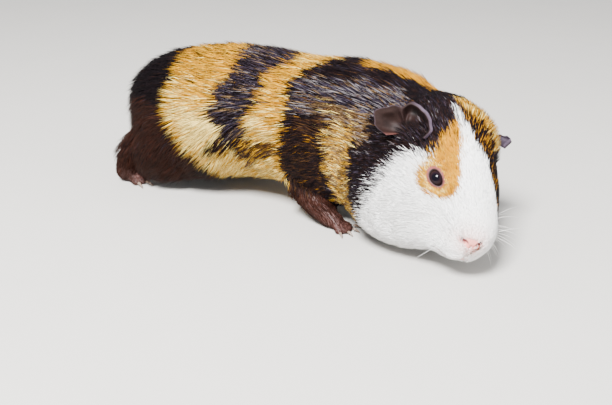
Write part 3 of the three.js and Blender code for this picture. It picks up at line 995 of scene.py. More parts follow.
def eye_material():
    """A wet dark eye: a brown-black iris and a black pupil under a clear film that mirrors the lamps."""
    material, tree, shader = material_of("wet_eye")
    ring = add_node(tree, "ShaderNodeAttribute", {"attribute_name": "from_pupil"})
    ramp = add_node(tree, "ShaderNodeValToRGB", {}, {"Fac": ring.outputs["Fac"]})
    stops = ramp.color_ramp.elements
    stops[0].position, stops[0].color = 0.3, (*linear("#07050B"), 1)  # the pupil's edge
    stops[1].position, stops[1].color = 0.42, (*linear("#160B10"), 1)
    stops.new(0.93).color = (*linear("#1A0E0C"), 1)  # the iris's outer edge
    tree.links.new(ramp.outputs["Color"], shader.inputs["Base Color"])
    shader.inputs["Roughness"].default_value = 0.05
    shader.inputs["IOR"].default_value = 1.34
    shader.inputs["Specular IOR Level"].default_value = 0.22
    return material


def horn_material():
    """Claw horn: keratin grown in lengthwise fibres, so it has a dull polish and faint streaks."""
    face = bpy.context.scene.guinea_pig_face
    material, tree, shader = material_of("claw_horn")
    place = add_node(tree, "ShaderNodeTexCoord")
    stretch = add_node(
        tree, "ShaderNodeMapping", {}, {"Vector": place.outputs["Object"], "Scale": FIBRE_SCALE}
    )
    fibres = add_node(tree, "ShaderNodeTexNoise", {}, {"Vector": stretch.outputs["Vector"], "Scale": 1.0})
    ramp = add_node(
        tree, "ShaderNodeMapRange", {}, {"Value": fibres.outputs["Fac"], "To Min": 0.6, "To Max": 1.4}
    )
    colour = add_node(
        tree,
        "ShaderNodeVectorMath",
        {"operation": "SCALE"},
        {0: tuple(face.horn), "Scale": ramp.outputs["Result"]},
    )
    tree.links.new(colour.outputs["Vector"], shader.inputs["Base Color"])
    shader.inputs["Roughness"].default_value = 0.35
    return material


def whisker_material():
    """Whisker: a thick stiff white hair of solid keratin, smooth with a clear gloss."""
    material, tree, shader = material_of("whisker_hair")
    place = add_node(tree, "ShaderNodeTexCoord")
    noise = add_node(
        tree, "ShaderNodeTexNoise", {}, {"Vector": place.outputs["Object"], "Scale": WHISKER_SCALE}
    )
    ramp = add_node(tree, "ShaderNodeValToRGB", {}, {"Fac": noise.outputs["Fac"]})
    stops = ramp.color_ramp.elements
    stops[0].color = (*linear("#D8D2CC"), 1)
    stops[1].color = (*linear("#FBFAF8"), 1)
    tree.links.new(ramp.outputs["Color"], shader.inputs["Base Color"])
    shader.inputs["Roughness"].default_value = 0.35
    return material


def floor_material():
    """Painted board, rolled on matt: pale, with a faint unevenness."""
    studio = bpy.context.scene.guinea_pig_studio
    material, tree, shader = material_of("painted_board")
    place = add_node(tree, "ShaderNodeTexCoord")
    noise = add_node(
        tree, "ShaderNodeTexNoise", {}, {"Vector": place.outputs["Object"], "Scale": BOARD_SCALE}
    )
    ramp = add_node(
        tree, "ShaderNodeMapRange", {}, {"Value": noise.outputs["Fac"], "To Min": 0.97, "To Max": 1.02}
    )
    colour = add_node(
        tree,
        "ShaderNodeVectorMath",
        {"operation": "SCALE"},
        {0: tuple(studio.floor), "Scale": ramp.outputs["Result"]},
    )
    tree.links.new(colour.outputs["Vector"], shader.inputs["Base Color"])
    shader.inputs["Roughness"].default_value = 0.85
    return material


# ---- Operators ----

CAMERA_AT = np.array([200.92, -395.94, 197.0])  # millimetres
SENSOR = 36  # millimetres across
FLOOR_SIZE = 40.0  # metres, so that its edges lie beyond the horizon
LAMPS_AIM = (0, 0, 0.04)  # the middle of the body, in metres
KEY_AT, KEY_SIZE = (0.08, -0.68, 0.85), 0.3  # a small lamp high over the right side, for clear shadows
FILL_AT, FILL_SIZE = (0.85, 0.1, 0.5), 0.8
SKY, SKY_STRENGTH = "#F2F4F8", 1.05


class GUINEA_PIG_OT_studio(bpy.types.Operator):
    """Lays the floor and sets the lamps and the camera"""

    bl_idname = "guinea_pig.studio"
    bl_label = "Set the Studio"

    def execute(self, context):
        studio = context.scene.guinea_pig_studio
        half = FLOOR_SIZE / 2
        mesh = bpy.data.meshes.new("floor")
        corners = [(-half, -half, 0), (half, -half, 0), (half, half, 0), (-half, half, 0)]
        mesh.from_pydata(corners, [], [(0, 1, 2, 3)])
        new_object("floor", mesh, floor_material())
        for name, place, size, power in (
            ("key_lamp", KEY_AT, KEY_SIZE, studio.key_power),
            ("fill_lamp", FILL_AT, FILL_SIZE, studio.fill_power),
        ):
            lamp = bpy.data.lights.new(name, "AREA")
            lamp.size = size
            lamp.energy = power
            light = bpy.data.objects.new(name, lamp)
            light.location = place
            aim = Vector(LAMPS_AIM) - Vector(place)
            light.rotation_euler = aim.to_track_quat("-Z", "Y").to_euler()
            context.collection.objects.link(light)
        world = context.scene.world or bpy.data.worlds.new("studio")
        context.scene.world = world
        world.use_nodes = True
        sky = next(n for n in world.node_tree.nodes if n.type == "BACKGROUND")
        sky.inputs["Color"].default_value = (*linear(SKY), 1)
        sky.inputs["Strength"].default_value = SKY_STRENGTH
        camera = bpy.data.cameras.new("camera")
        camera.sensor_width = SENSOR
        camera.lens = studio.lens
        view = bpy.data.objects.new("camera", camera)
        view.location = CAMERA_AT * MM
        view.rotation_euler = (math.pi / 2 - studio.elevation, 0, studio.azimuth)
        context.collection.objects.link(view)
        context.scene.camera = view
        return {"FINISHED"}


class GUINEA_PIG_OT_skin(bpy.types.Operator):
    """Makes one skin for the whole body and both ears"""

    bl_idname = "guinea_pig.skin"
    bl_label = "Make the Skin"

    def execute(self, context):
        piece = skin_mesh()
        mesh = piece.data
        mesh.materials.append(hide_material())
        mesh.materials.append(ear_material())
        points = points_of(mesh)
        put(mesh, "markings", "FLOAT_COLOR", "POINT", skin_colours(points))
        shape = bmesh.new()
        shape.from_mesh(mesh)
        body_faces = len(shape.faces)
        for side in SIDES:
            ear = ear_mesh(side)
            shape.from_mesh(ear)
            bpy.data.meshes.remove(ear)
        shape.faces.ensure_lookup_table()
        for face in shape.faces[body_faces:]:
            face.material_index = 1
            face.smooth = True
        shape.to_mesh(mesh)
        shape.free()
        piece.name = "skin"
        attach(piece, "root")
        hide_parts(*FLESH, "ear_left", "ear_right")
        return {"FINISHED"}


def lid_distance(in_head, side):
    """Distance from an eye's middle in openings of the lids, and large behind the eye."""
    face = bpy.context.scene.guinea_pig_face
    local = (in_head - on_side(EYE_IN_HEAD, side)) @ eye_axes(side).T
    s = np.hypot(local[:, 0] / face.lid_long, local[:, 1] / face.lid_high)
    return np.where(local[:, 2] > 0, s, 9)


PATCH_WANDER, EDGE_WANDER = 22, 5  # sizes of the waves in the markings' borders, in millimetres
RIM_EDGE, RIM_END = 1.5, 1.95  # the bare rim round an eye fades between these openings
LID_EDGE, LID_END = 1.05, 1.25  # and the dark edge of its lids between these
HIDE_SHADE, WHITE_HIDE_SHADE = 0.6, 0.92  # the skin is darker than the hair over it


def skin_colours(points):
    """The markings on the skin itself, with pink at the nose, lips and lids and dark skin on the feet."""
    coat = bpy.context.scene.guinea_pig_coat
    face = bpy.context.scene.guinea_pig_face
    rng = np.random.default_rng(coat.seed)
    wander = Ripple(rng, PATCH_WANDER)(points) * 1.6 + Ripple(rng, EDGE_WANDER)(points) * 0.8
    chosen, mixes = mix_at(points, wander, wander * 0.3)
    tones = tone_colours()
    blends = np.array([sum(tones[t] * share for t, share in mix.items()) for mix in mixes])
    white = blends[chosen].mean(1, keepdims=True) > 0.8
    colours = blends[chosen] * np.where(white, WHITE_HIDE_SHADE, HIDE_SHADE)
    in_head = to_head(points)
    dark = np.zeros(len(points))
    for side in SIDES:
        s = lid_distance(in_head, side)
        ring = (1 - smoothstep(RIM_EDGE, RIM_END, s))[:, None]
        colours = colours + (np.array(face.eye_rim) - colours) * ring
        dark = np.maximum(dark, 1 - smoothstep(LID_EDGE, LID_END, s))
    q = to_nose(in_head)
    ahead = smoothstep(-12, -6, q[:, 0])
    nose = bell(q[:, 1], 0, 7.5) * bell(q[:, 2], -1.0, 5.0) * ahead
    lips = bell(above_lips(q), 0, 1.8) * smoothstep(12, 8, np.abs(q[:, 1])) * ahead
    pink = np.clip(np.maximum(nose, lips) * 1.3, 0, 1)[:, None]
    colours = colours * (1 - pink) + np.array(face.pink) * pink
    slit = np.hypot((np.abs(q[:, 1]) - NOSTRIL[0]) / 1.8, (q[:, 2] - NOSTRIL[1]) / 1.15)
    slit = (smoothstep(1.2, 0.7, slit) * ahead)[:, None]
    colours = colours + (np.array(face.nostril) - colours) * slit
    colours = colours + (np.array(face.lid) - colours) * dark[:, None]
    legs = leg_shares(points)[0] * smoothstep(24, 10, points[:, 2])
    colours = colours * (1 - legs[:, None]) + np.array(face.foot) * legs[:, None]
    return opaque(colours)


CORNEA_BULGE = 0.035  # the cornea stands out by this share of the eyeball's radius
BALL_AROUND, BALL_RINGS = 48, 31  # the eyeball's points in a ring, and its rings between the poles


def unit_ball():
    """A closed ball of radius 1 with its poles on z: its points and its faces."""
    turns = np.arange(BALL_AROUND) * 2 * math.pi / BALL_AROUND
    tilts = np.arange(1, BALL_RINGS + 1) * math.pi / (BALL_RINGS + 1)
    tilt, turn = np.meshgrid(tilts, turns, indexing="ij")
    rings = np.stack([np.sin(tilt) * np.cos(turn), np.sin(tilt) * np.sin(turn), np.cos(tilt)], 2)
    points = np.concatenate([rings.reshape(-1, 3), [[0, 0, 1], [0, 0, -1]]])
    top, bottom, last = len(points) - 2, len(points) - 1, (BALL_RINGS - 1) * BALL_AROUND
    faces = []
    for here in range(BALL_AROUND):
        beside = (here + 1) % BALL_AROUND
        faces.append((top, here, beside))
        faces.append((bottom, last + beside, last + here))
        for start in range(0, last, BALL_AROUND):
            below = start + BALL_AROUND
            faces.append((start + here, below + here, below + beside, start + beside))
    return points, faces


class GUINEA_PIG_OT_eyes(bpy.types.Operator):
    """Makes both eyeballs, each with a bulging cornea"""

    bl_idname = "guinea_pig.eyes"
    bl_label = "Make the Eyes"

    def execute(self, context):
        face = context.scene.guinea_pig_face
        material = eye_material()
        for side, name in ((1, "left"), (-1, "right")):
            axes = eye_axes(side) if side > 0 else eye_axes(side) * [[1], [-1], [1]]
            local, faces = unit_ball()
            off_axis = np.hypot(local[:, 0], local[:, 1])
            ahead = local[:, 2] > 0
            bulge = 1 + CORNEA_BULGE * (1 - smoothstep(0.45, 0.8, off_axis)) * ahead
            shaped = local * bulge[:, None] * face.eye_radius
            placed = from_head(shaped @ axes + on_side(EYE_IN_HEAD, side))
            mesh = bpy.data.meshes.new("eyeball_" + name)
            mesh.from_pydata((placed * MM).tolist(), [], faces)
            put(mesh, "from_pupil", "FLOAT", "POINT", np.where(ahead, off_axis, 1))
            mesh.shade_smooth()
            faced_out(mesh)
            piece = new_object("eyeball_" + name, mesh, material)
            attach(piece, "root")
            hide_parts("eye_" + name)
        return {"FINISHED"}


class GUINEA_PIG_OT_claws(bpy.types.Operator):
    """Rounds every claw and gives it its horn"""

    bl_idname = "guinea_pig.claws"
    bl_label = "Make the Claws"

    def execute(self, context):
        material = horn_material()
        for foot, toes in (("fore_left", 4), ("fore_right", 4), ("hind_left", 3), ("hind_right", 3)):
            nodes = [f"claw_{foot}_{i + 1}" for i in range(toes)]
            shape = bmesh.new()
            for name in nodes:
                shape.from_mesh(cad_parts[name].data)
            bmesh.ops.remove_doubles(shape, verts=shape.verts, dist=1e-6)
            mesh = bpy.data.meshes.new("claws_" + foot)
            shape.to_mesh(mesh)
            shape.free()
            piece = new_object("claws_" + foot, mesh, material)
            rounder = piece.modifiers.new("Round", "SUBSURF")
            rounder.levels = rounder.render_levels = 2
            made_plain(piece).data.shade_smooth()
            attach(piece, "root")
            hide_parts(*nodes)
        return {"FINISHED"}


# ---- Coat ----

PATCH_SIZE = 0.003  # each tuft's patch on the map of its piece
BLUNT = 1.7  # a tuft narrows by this power of the way along it


def new_tree(name, sizes):
    """A Geometry Nodes tree that takes roots, sizes and a hair material, and its group's inputs."""
    tree = bpy.data.node_groups.new(name, "GeometryNodeTree")
    for socket, kind in (("Roots", "Geometry"), *((size, "Float") for size in sizes), ("Hair", "Material")):
        tree.interface.new_socket(socket, in_out="INPUT", socket_type="NodeSocket" + kind)
    tree.interface.new_socket(name, in_out="OUTPUT", socket_type="NodeSocketGeometry")
    return tree, tree.nodes.new("NodeGroupInput").outputs


def tuft_tree():
    """Stands a tapered three-sided tuft on each point, bends it, and marks its place on the piece's map."""
    tree, given = new_tree("Tufts", ("Blunt", "Patch"))
    rod = add_node(
        tree,
        "GeometryNodeMeshCylinder",
        {"fill_type": "NGON"},
        {"Vertices": 3, "Side Segments": 2, "Radius": 1.0, "Depth": 1.0},
    )
    place = add_node(tree, "GeometryNodeInputPosition")
    parts = add_node(tree, "ShaderNodeSeparateXYZ", {}, {0: place.outputs[0]})
    along = add_node(tree, "ShaderNodeMath", {"operation": "ADD"}, {0: parts.outputs["Z"], 1: 0.5})
    tuft = rod
    for name, value in (("along", along.outputs[0]), ("across", parts.outputs["X"])):
        tuft = add_node(
            tree,
            "GeometryNodeStoreNamedAttribute",
            {"data_type": "FLOAT", "domain": "POINT"},
            {"Geometry": tuft.outputs[0], "Name": name, "Value": value},
        )
    power = add_node(
        tree, "ShaderNodeMath", {"operation": "POWER"}, {0: along.outputs[0], 1: given["Blunt"]}
    )
    taper = add_node(tree, "ShaderNodeMath", {"operation": "SUBTRACT"}, {0: 1.0, 1: power.outputs[0]})
    shaped = add_node(tree, "ShaderNodeCombineXYZ", {}, {"Z": along.outputs[0]})
    for axis in ("X", "Y"):
        wide = add_node(
            tree, "ShaderNodeMath", {"operation": "MULTIPLY"}, {0: parts.outputs[axis], 1: taper.outputs[0]}
        )
        tree.links.new(wide.outputs[0], shaped.inputs[axis])
    tuft = add_node(
        tree, "GeometryNodeSetPosition", {}, {"Geometry": tuft.outputs[0], "Position": shaped.outputs[0]}
    )
    tuft = add_node(
        tree, "GeometryNodeMergeByDistance", {}, {"Geometry": tuft.outputs[0], "Distance": 0.01}
    )

    marks = {}
    for name in ("lie", "rise", "size", "sway", "root_at", "along", "across"):
        kind = "FLOAT" if name in ("along", "across") else "FLOAT_VECTOR"
        node = add_node(tree, "GeometryNodeInputNamedAttribute", {"data_type": kind}, {"Name": name})
        marks[name] = next(s for s in node.outputs if s.name == "Attribute" and s.enabled)
    turn = add_node(
        tree,
        "FunctionNodeAxesToRotation",
        {"primary_axis": "Z", "secondary_axis": "Y"},
        {0: marks["lie"], 1: marks["rise"]},
    )
    stood = add_node(
        tree,
        "GeometryNodeInstanceOnPoints",
        {},
        {
            "Points": given["Roots"],
            "Instance": tuft.outputs[0],
            "Rotation": turn.outputs[0],
            "Scale": marks["size"],
        },
    )
    real = add_node(tree, "GeometryNodeRealizeInstances", {}, {0: stood.outputs[0]})
    t = marks["along"]
    square = add_node(tree, "ShaderNodeMath", {"operation": "MULTIPLY"}, {0: t, 1: t})
    sway = add_node(
        tree, "ShaderNodeVectorMath", {"operation": "SCALE"}, {0: marks["sway"], "Scale": square.outputs[0]}
    )
    bent = add_node(
        tree, "GeometryNodeSetPosition", {}, {"Geometry": real.outputs[0], "Offset": sway.outputs[0]}
    )
    inside = add_node(tree, "ShaderNodeCombineXYZ", {}, {"X": t, "Y": marks["across"], "Z": 0.0})
    patch = add_node(
        tree, "ShaderNodeVectorMath", {"operation": "SCALE"}, {0: inside.outputs[0], "Scale": given["Patch"]}
    )
    spot = add_node(
        tree, "ShaderNodeVectorMath", {"operation": "ADD"}, {0: marks["root_at"], 1: patch.outputs[0]}
    )
    mapped = add_node(
        tree,
        "GeometryNodeStoreNamedAttribute",
        {"data_type": "FLOAT2", "domain": "CORNER"},
        {"Geometry": bent.outputs[0], "Name": "OFBake", "Value": spot.outputs[0]},
    )
    cleared = mapped
    for name in ("lie", "rise", "size", "sway", "root_at", "across"):
        cleared = add_node(
            tree, "GeometryNodeRemoveAttribute", {}, {"Geometry": cleared.outputs[0], "Name": name}
        )
    rounded = add_node(tree, "GeometryNodeSetShadeSmooth", {}, {"Geometry": cleared.outputs[0]})
    done = add_node(
        tree, "GeometryNodeSetMaterial", {}, {"Geometry": rounded.outputs[0], "Material": given["Hair"]}
    )
    add_node(tree, "NodeGroupOutput", {}, {0: done.outputs[0]})
    return tree


def grow(piece, tree, **values):
    """Runs a tree on a piece and keeps its result as the piece's mesh."""
    modifier = piece.modifiers.new(tree.name, "NODES")
    modifier.node_group = tree
    items = tree.interface.items_tree
    sockets = {item.name: item.identifier for item in items if item.in_out == "INPUT"}
    for name, value in values.items():
        modifier[sockets[name]] = value
    mesh = made_plain(piece).data
    mesh.materials.clear()
    mesh.materials.append(values["Hair"])
    mesh.polygons.foreach_set("material_index", np.zeros(len(mesh.polygons), dtype=np.int32))
    mesh.update()
    return piece


REGIONS = {  # pieces of the coat, with the share of a full coat's tufts on each and its slot
    "face_right": (0.96, "coat_white"),
    "cheek_right": (0.96, "coat_white"),
    "face_left": (0.72, "coat_white"),
    "crown": (0.8, "coat_dark"),
    "neck": (1.0, "coat_dark"),
    "shoulder": (1.0, "coat_gold"),
    "ribs": (1.0, "coat_gold"),
    "loin": (1.0, "coat_gold"),
    "rump": (0.8, "coat_gold"),
    "legs": (0.66, "coat_dark"),
}
TRUNK_CUTS = {"loin": -62.0, "ribs": -30.0, "shoulder": 2.0, "neck": 30.0}  # where each starts, in x
FACE_CUT, CHEEK_CUT, MIDDLE_CUT = 26, 2, -1  # x, z and y on the head where its pieces of coat meet
UNWRAP_ANGLE, UNWRAP_GAP = math.radians(70), 0.004
EVEN_LIE, EVEN_NORMALS = 8, 6  # smoothing passes for the legs' shares and ways and for the normals


def region_of(points, legs):
    """The name of each point's piece of coat."""
    in_head = to_head(points)
    x = points[:, 0]
    region = np.full(len(points), "rump", dtype="<U16")
    for name, cut in TRUNK_CUTS.items():
        region[x > cut] = name
    head = head_share(in_head) > 0.5
    region[head] = "crown"
    front = head & (in_head[:, 0] > FACE_CUT)
    right = in_head[:, 1] <= MIDDLE_CUT
    region[front & ~right] = "face_left"
    region[front & right] = "face_right"
    region[front & right & (in_head[:, 2] < CHEEK_CUT)] = "cheek_right"
    region[legs > 0.5] = "legs"
    return region


def unwrapped(points, faces):
    """An unwrap of a stretch of skin, as a place on the map for each corner of each face."""
    mesh = bpy.data.meshes.new("unwrap")
    used, inverse = np.unique(faces, return_inverse=True)
    mesh.from_pydata((points[used] * MM).tolist(), [], inverse.reshape(faces.shape).tolist())
    piece = new_object("unwrap", mesh)
    bpy.context.view_layer.objects.active = piece
    piece.select_set(True)
    bpy.ops.object.mode_set(mode="EDIT")
    bpy.ops.mesh.select_all(action="SELECT")
    bpy.ops.uv.smart_project(angle_limit=UNWRAP_ANGLE, island_margin=UNWRAP_GAP)
    bpy.ops.object.mode_set(mode="OBJECT")
    flat = np.empty(len(mesh.loops) * 2)
    mesh.uv_layers.active.data.foreach_get("uv", flat)
    bpy.data.objects.remove(piece)
    bpy.data.meshes.remove(mesh)
    return flat.reshape(-1, 3, 2)


class GUINEA_PIG_OT_coat(bpy.types.Operator):
    """Covers the skin with overlapping tufts that carry its markings"""

    bl_idname = "guinea_pig.coat"
    bl_label = "Lay the Coat"

    def execute(self, context):
        coat = context.scene.guinea_pig_coat
        skin = bpy.data.objects["skin"].data
        corners, ground = coat_ground(skin)
        points, legs = ground["points"], ground["legs"]
        material = hair_material()
        tree = tuft_tree()
        region = region_of(points[corners].mean(1), legs[corners].mean(1))
        rng = np.random.default_rng(coat.seed)
        for name, (share, slot) in REGIONS.items():
            mesh = roots(corners[region == name], ground, rng, share)
            piece = new_object("coat_" + name, mesh)
            grow(piece, tree, Blunt=BLUNT, Patch=PATCH_SIZE, Hair=material)
            settle(piece.data)
            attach(piece, "root")
        return {"FINISHED"}


def coat_ground(skin):
    """The furry part of the skin's triangles, and what the coat needs to know at each of its points."""
    skin.calc_loop_triangles()
    flat = np.empty(len(skin.loop_triangles) * 3, dtype=np.int32)
    skin.loop_triangles.foreach_get("vertices", flat)
    slots = np.empty(len(skin.loop_triangles), dtype=np.int32)
    skin.loop_triangles.foreach_get("material_index", slots)
    corners = flat.reshape(-1, 3)[slots == 0]
    points, normals, edges = points_of(skin), normals_of(skin), edges_of(skin)
    body = np.unique(corners)
    shares, ways = np.zeros(len(points)), np.zeros((len(points), 3))
    shares[body], ways[body] = leg_shares(points[body])
    legs = smoothed(shares, edges, EVEN_LIE, grow_back=False)
    in_head = to_head(points)
    return corners, {
        "points": points,
        "normals": unit(smoothed(normals, edges, EVEN_NORMALS, grow_back=False)),
        "lengths": hair_length(points, in_head, legs),
        "legs": legs,
        "leg_way": smoothed(ways, edges, EVEN_LIE, grow_back=False),
        "bare": bareness(points, in_head),
    }


HAIR_FROM_LID = (1.54, 1.3)  # hair thins out between these openings from an eye's middle


def bareness(points, in_head):
    """1 where no hair grows: the eyes and their rims, the nose pad, the lips and the soles."""
    bare = smoothstep(1.2, 0.5, points[:, 2])
    for side in SIDES:
        bare = np.maximum(bare, smoothstep(*HAIR_FROM_LID, lid_distance(in_head, side)))
    q = to_nose(in_head)
    ahead = smoothstep(-13, -8, q[:, 0])
    nose = smoothstep(1.25, 0.8, np.hypot(q[:, 1] / 4.9, (q[:, 2] + 0.2) / 1.9)) * ahead
    cleft = smoothstep(1.0, 0.5, np.abs(q[:, 1])) * (q[:, 2] < 0) * (above_lips(q) > 0) * ahead
    lips = smoothstep(1.3, 0.6, np.abs(above_lips(q))) * smoothstep(11, 8, np.abs(q[:, 1])) * ahead
    nose = np.maximum(nose, 0.8 * cleft)
    return np.clip(np.maximum(bare, np.maximum(nose, lips)), 0, 1)


TIP_SEEN = 0.78  # a tuft takes the colour of the marking under this share of its length
TUFT_WIDE, TUFT_THICK = 0.58, 0.34  # half sizes of a tuft's section, as shares of its width
LEAST_LIFT, MOST_LIFT = 0.12, 1.0  # radians


def scattered(corners, ground, rng, thinning):
    """Picks triangles by how many tufts cover them, and a spot on each as shares of its corners."""
    coat = bpy.context.scene.guinea_pig_coat
    a, b, c = (ground["points"][corners[:, k]] for k in range(3))
    area = np.linalg.norm(np.cross(b - a, c - a), axis=1) / 2
    long, legs, bare = (ground[name][corners].mean(1) for name in ("lengths", "legs", "bare"))
    layers = coat.layers * np.interp(long, (1.5, 4, 8, 14), (0.34, 0.62, 0.86, 1.0))
    layers = layers * (1 - 0.45 * legs)
    weight = area * layers / (long * tuft_width(long) * 0.5) * (1 - bare)
    count = int(weight.sum() * thinning)
    total = np.cumsum(weight) / weight.sum()
    face = np.searchsorted(total, (np.arange(count) + rng.random(count)) / count)
    face = np.minimum(face, len(corners) - 1)
    u, v = rng.random((2, count))
    flip = u + v > 1
    u, v = np.where(flip, 1 - u, u), np.where(flip, 1 - v, v)
    return face, np.stack([1 - u - v, u, v], 1)


def roots(corners, ground, rng, thinning):
    """Points on the skin where tufts grow, with all that their shape and colour need."""
    face, shares = scattered(corners, ground, rng, thinning)
    count = len(face)

    def at(name):
        picked = ground[name][corners[face]]
        return (picked * shares.reshape(shares.shape + (1,) * (picked.ndim - 2))).sum(1)

    place, normal = at("points"), unit(at("normals"))
    long, legs, leg_way = at("lengths"), at("legs"), at("leg_way")
    root_at = (unwrapped(ground["points"], corners)[face] * shares[:, :, None]).sum(1)
    in_head = to_head(place)
    way = hair_way(place, in_head, normal, legs, leg_way)
    side = np.cross(normal, way)
    swing = Ripple(rng, 30)(place) * 0.13 + Ripple(rng, 9)(place) * 0.09 + rng.normal(0, 0.07, count)
    way = way * np.cos(swing)[:, None] + side * np.sin(swing)[:, None]
    side = np.cross(normal, way)
    lift = bpy.context.scene.guinea_pig_coat.lift
    lift = lift * (1 + Ripple(rng, 6)(place) * 0.14 + rng.normal(0, 0.13, count))
    lift = lift + 0.62 * ruffled(in_head) + 0.4 * beside_ear(in_head, -1) + 0.3 * whisker_pads(in_head)
    lift = np.clip(lift + 0.1 * smoothstep(6, 2, long), LEAST_LIFT, MOST_LIFT)
    lie = way * np.cos(lift)[:, None] + normal * np.sin(lift)[:, None]
    long = long * rng.uniform(0.78, 1.12, count)
    clump = clumped(place, way, long, rng)
    sway = clump - normal * (long * 0.13)[:, None] + side * (rng.normal(0, 0.06, count) * long)[:, None]
    wide = tuft_width(long) * rng.uniform(0.8, 1.2, count)
    mesh = bpy.data.meshes.new("roots")
    mesh.from_pydata((place * MM).tolist(), [], [])
    for name, values in (
        ("lie", lie),
        ("rise", normal),
        ("size", np.stack([wide * TUFT_WIDE, wide * TUFT_THICK, long], 1) * MM),
        ("sway", sway * MM),
        ("root_at", np.pad(root_at, ((0, 0), (0, 1)))),
    ):
        put(mesh, name, "FLOAT_VECTOR", "POINT", values)
    seen_at = place + way * (long * TIP_SEEN)[:, None]
    put(mesh, "shade", "FLOAT_COLOR", "POINT", tuft_colours(seen_at, place, legs, rng))
    return mesh


def tuft_width(long):
    """Width of a tuft: short hair makes finer ones."""
    return bpy.context.scene.guinea_pig_coat.tuft_width * np.interp(long, (1, 4, 14), (0.48, 0.62, 1.0))


def whisker_pads(in_head):
    """1 on both sides of the muzzle, where stiffer white hair stands out, and 0 away from them."""
    x, y, z = in_head.T
    return bell(x, 64, 8) * smoothstep(5, 10, np.abs(y)) * smoothstep(8, 2, z)


def beside_ear(in_head, side):
    """1 at an ear's root and 0 away from it."""
    return smoothstep(15, 8, np.linalg.norm(in_head - on_side(EAR_POSES[side][0], side), axis=1))


def ruffled(in_head):
    """1 on the left of the crown, where the hair stands up in a ruffle, and 0 away from it."""
    x, y, z = in_head.T
    return smoothstep(9, 20, x) * smoothstep(36, 28, x) * smoothstep(-2, 6, y) * smoothstep(0, 10, z)


LOCKS = 0.06  # locks for each tuft
LOCK_PULL, MOST_PULL = 0.16, 0.5  # of a tuft's length, and of its distance from the lock's middle


def clumped(place, way, long, rng):
    """How far each tuft's tip is drawn toward the middle of its lock."""
    centres = place[rng.random(len(place)) < LOCKS]
    tree = KDTree(len(centres))
    for i, p in enumerate(centres):
        tree.insert(p, i)
    tree.balance()
    nearest = np.array([tree.find(p)[1] for p in place])
    pull = centres[nearest] - place
    pull = pull - (pull * way).sum(1, keepdims=True) * way
    far = np.linalg.norm(pull, axis=1, keepdims=True)
    return pull * np.minimum(MOST_PULL, LOCK_PULL * long[:, None] / np.maximum(far, 1e-6))


PINK_HAIR = np.array([1.0, 0.74, 0.7])  # the nose's skin shows through its short white hair
STAIN = np.array([(0.1, -7.5), (4.3, -1.6)])  # brownish hair from the cleft up to the nose's left
STREAK, SHIMMER = 3.2, 4  # sizes of the waves in a mix's tones and in their brightness, in millimetres


def tuft_colours(seen_at, place, legs, rng):
    """Each tuft's own colour, from the mix of tones under its tip; alpha is how bright its root is."""
    count = len(seen_at)
    wander = Ripple(rng, PATCH_WANDER)(seen_at) * 1.6 + Ripple(rng, EDGE_WANDER)(seen_at)
    wander = wander + rng.normal(0, 1.0, count)
    in_head = to_head(seen_at)
    cheek = smoothstep(40, 32, in_head[:, 0]) * smoothstep(16, 8, in_head[:, 2])
    loose = (0.5 + 0.5 * (in_head[:, 0] < 36) + 1.4 * cheek) * rng.normal(0, 1, count)
    chosen, mixes = mix_at(seen_at, wander, wander * 0.25 + loose)
    tones = tone_colours()
    shares = np.array([[mix.get(tone, 0) for tone in TONES] for mix in mixes])
    steps = np.cumsum(shares, 1) / shares.sum(1, keepdims=True)
    streak = Ripple(rng, STREAK)(place * [0.35, 1, 1])
    low = smoothstep(25, 95, np.abs(round_trunk(place))) * (place[:, 0] < 0)
    even = np.array([0.0 if "black" in mix or "chestnut" in mix else 1.0 for mix in mixes])[chosen]
    draw = 0.5 + (0.1 + 0.15 * even) * np.tanh(streak * 0.6) + rng.uniform(-0.42, 0.42, count)
    draw = draw + 0.5 * (low - 0.45) * (place[:, 0] < 0) * even
    draw = np.where(shares[chosen].max(1) > 0.99, 0.5, np.clip(draw, 0, 0.9999))
    tone = (draw[:, None] > steps[chosen]).sum(1)
    pale = {"black": 0.3, "brown": 0.3, "white": 1.0}
    pale = np.array([pale.get(name, 0.55) for name in TONES])[tone]
    shimmer = rng.normal(0, 0.14, count) + Ripple(rng, SHIMMER)(place) * 0.07
    brightness = np.exp(shimmer * (1.15 - pale))[:, None]
    colours = np.array(list(tones.values()))[tone] * brightness
    q = to_nose(to_head(place))
    blush = (0.7 * bell(np.linalg.norm(q, axis=1), 0, 7.0))[:, None]
    colours = colours * (1 - blush) + colours * PINK_HAIR * blush
    from_low, run = q[:, 1:] - STAIN[0], STAIN[1] - STAIN[0]
    t = np.clip((from_low @ run) / (run**2).sum(), 0, 1)[:, None]
    off = np.linalg.norm(from_low - t * run, axis=1)
    stain = (bell(off, 0, 1.3) > rng.uniform(0.2, 1.3, count)) & (q[:, 0] > -8)
    colours = np.where(stain[:, None], tones["chestnut"] * (2.4 - 1.2 * t) * brightness, colours)
    on_leg = legs * smoothstep(30, 14, place[:, 2])
    russet = (on_leg > rng.uniform(0.3, 0.7, count))[:, None]
    colours = np.where(russet, tones["russet"] * brightness, colours)
    return np.concatenate([np.clip(colours, 0, 1), (0.5 + 0.42 * pale)[:, None]], 1)


# ---- Whiskers ----

ROWS, IN_ROW = 5, 6  # whiskers on each side of the muzzle
FIRST_WHISKER = (70.0, 14.0, 4.5)  # the front one of the top row, in the head's frame
NEXT_IN_ROW, NEXT_ROW = 2.6, 2.8  # steps backward and downward, in millimetres
THICKNESS = 0.1  # radius at the root, in millimetres, which is coarser than a real whisker so that it shows
DROOP = 0.22  # of its length, at its tip


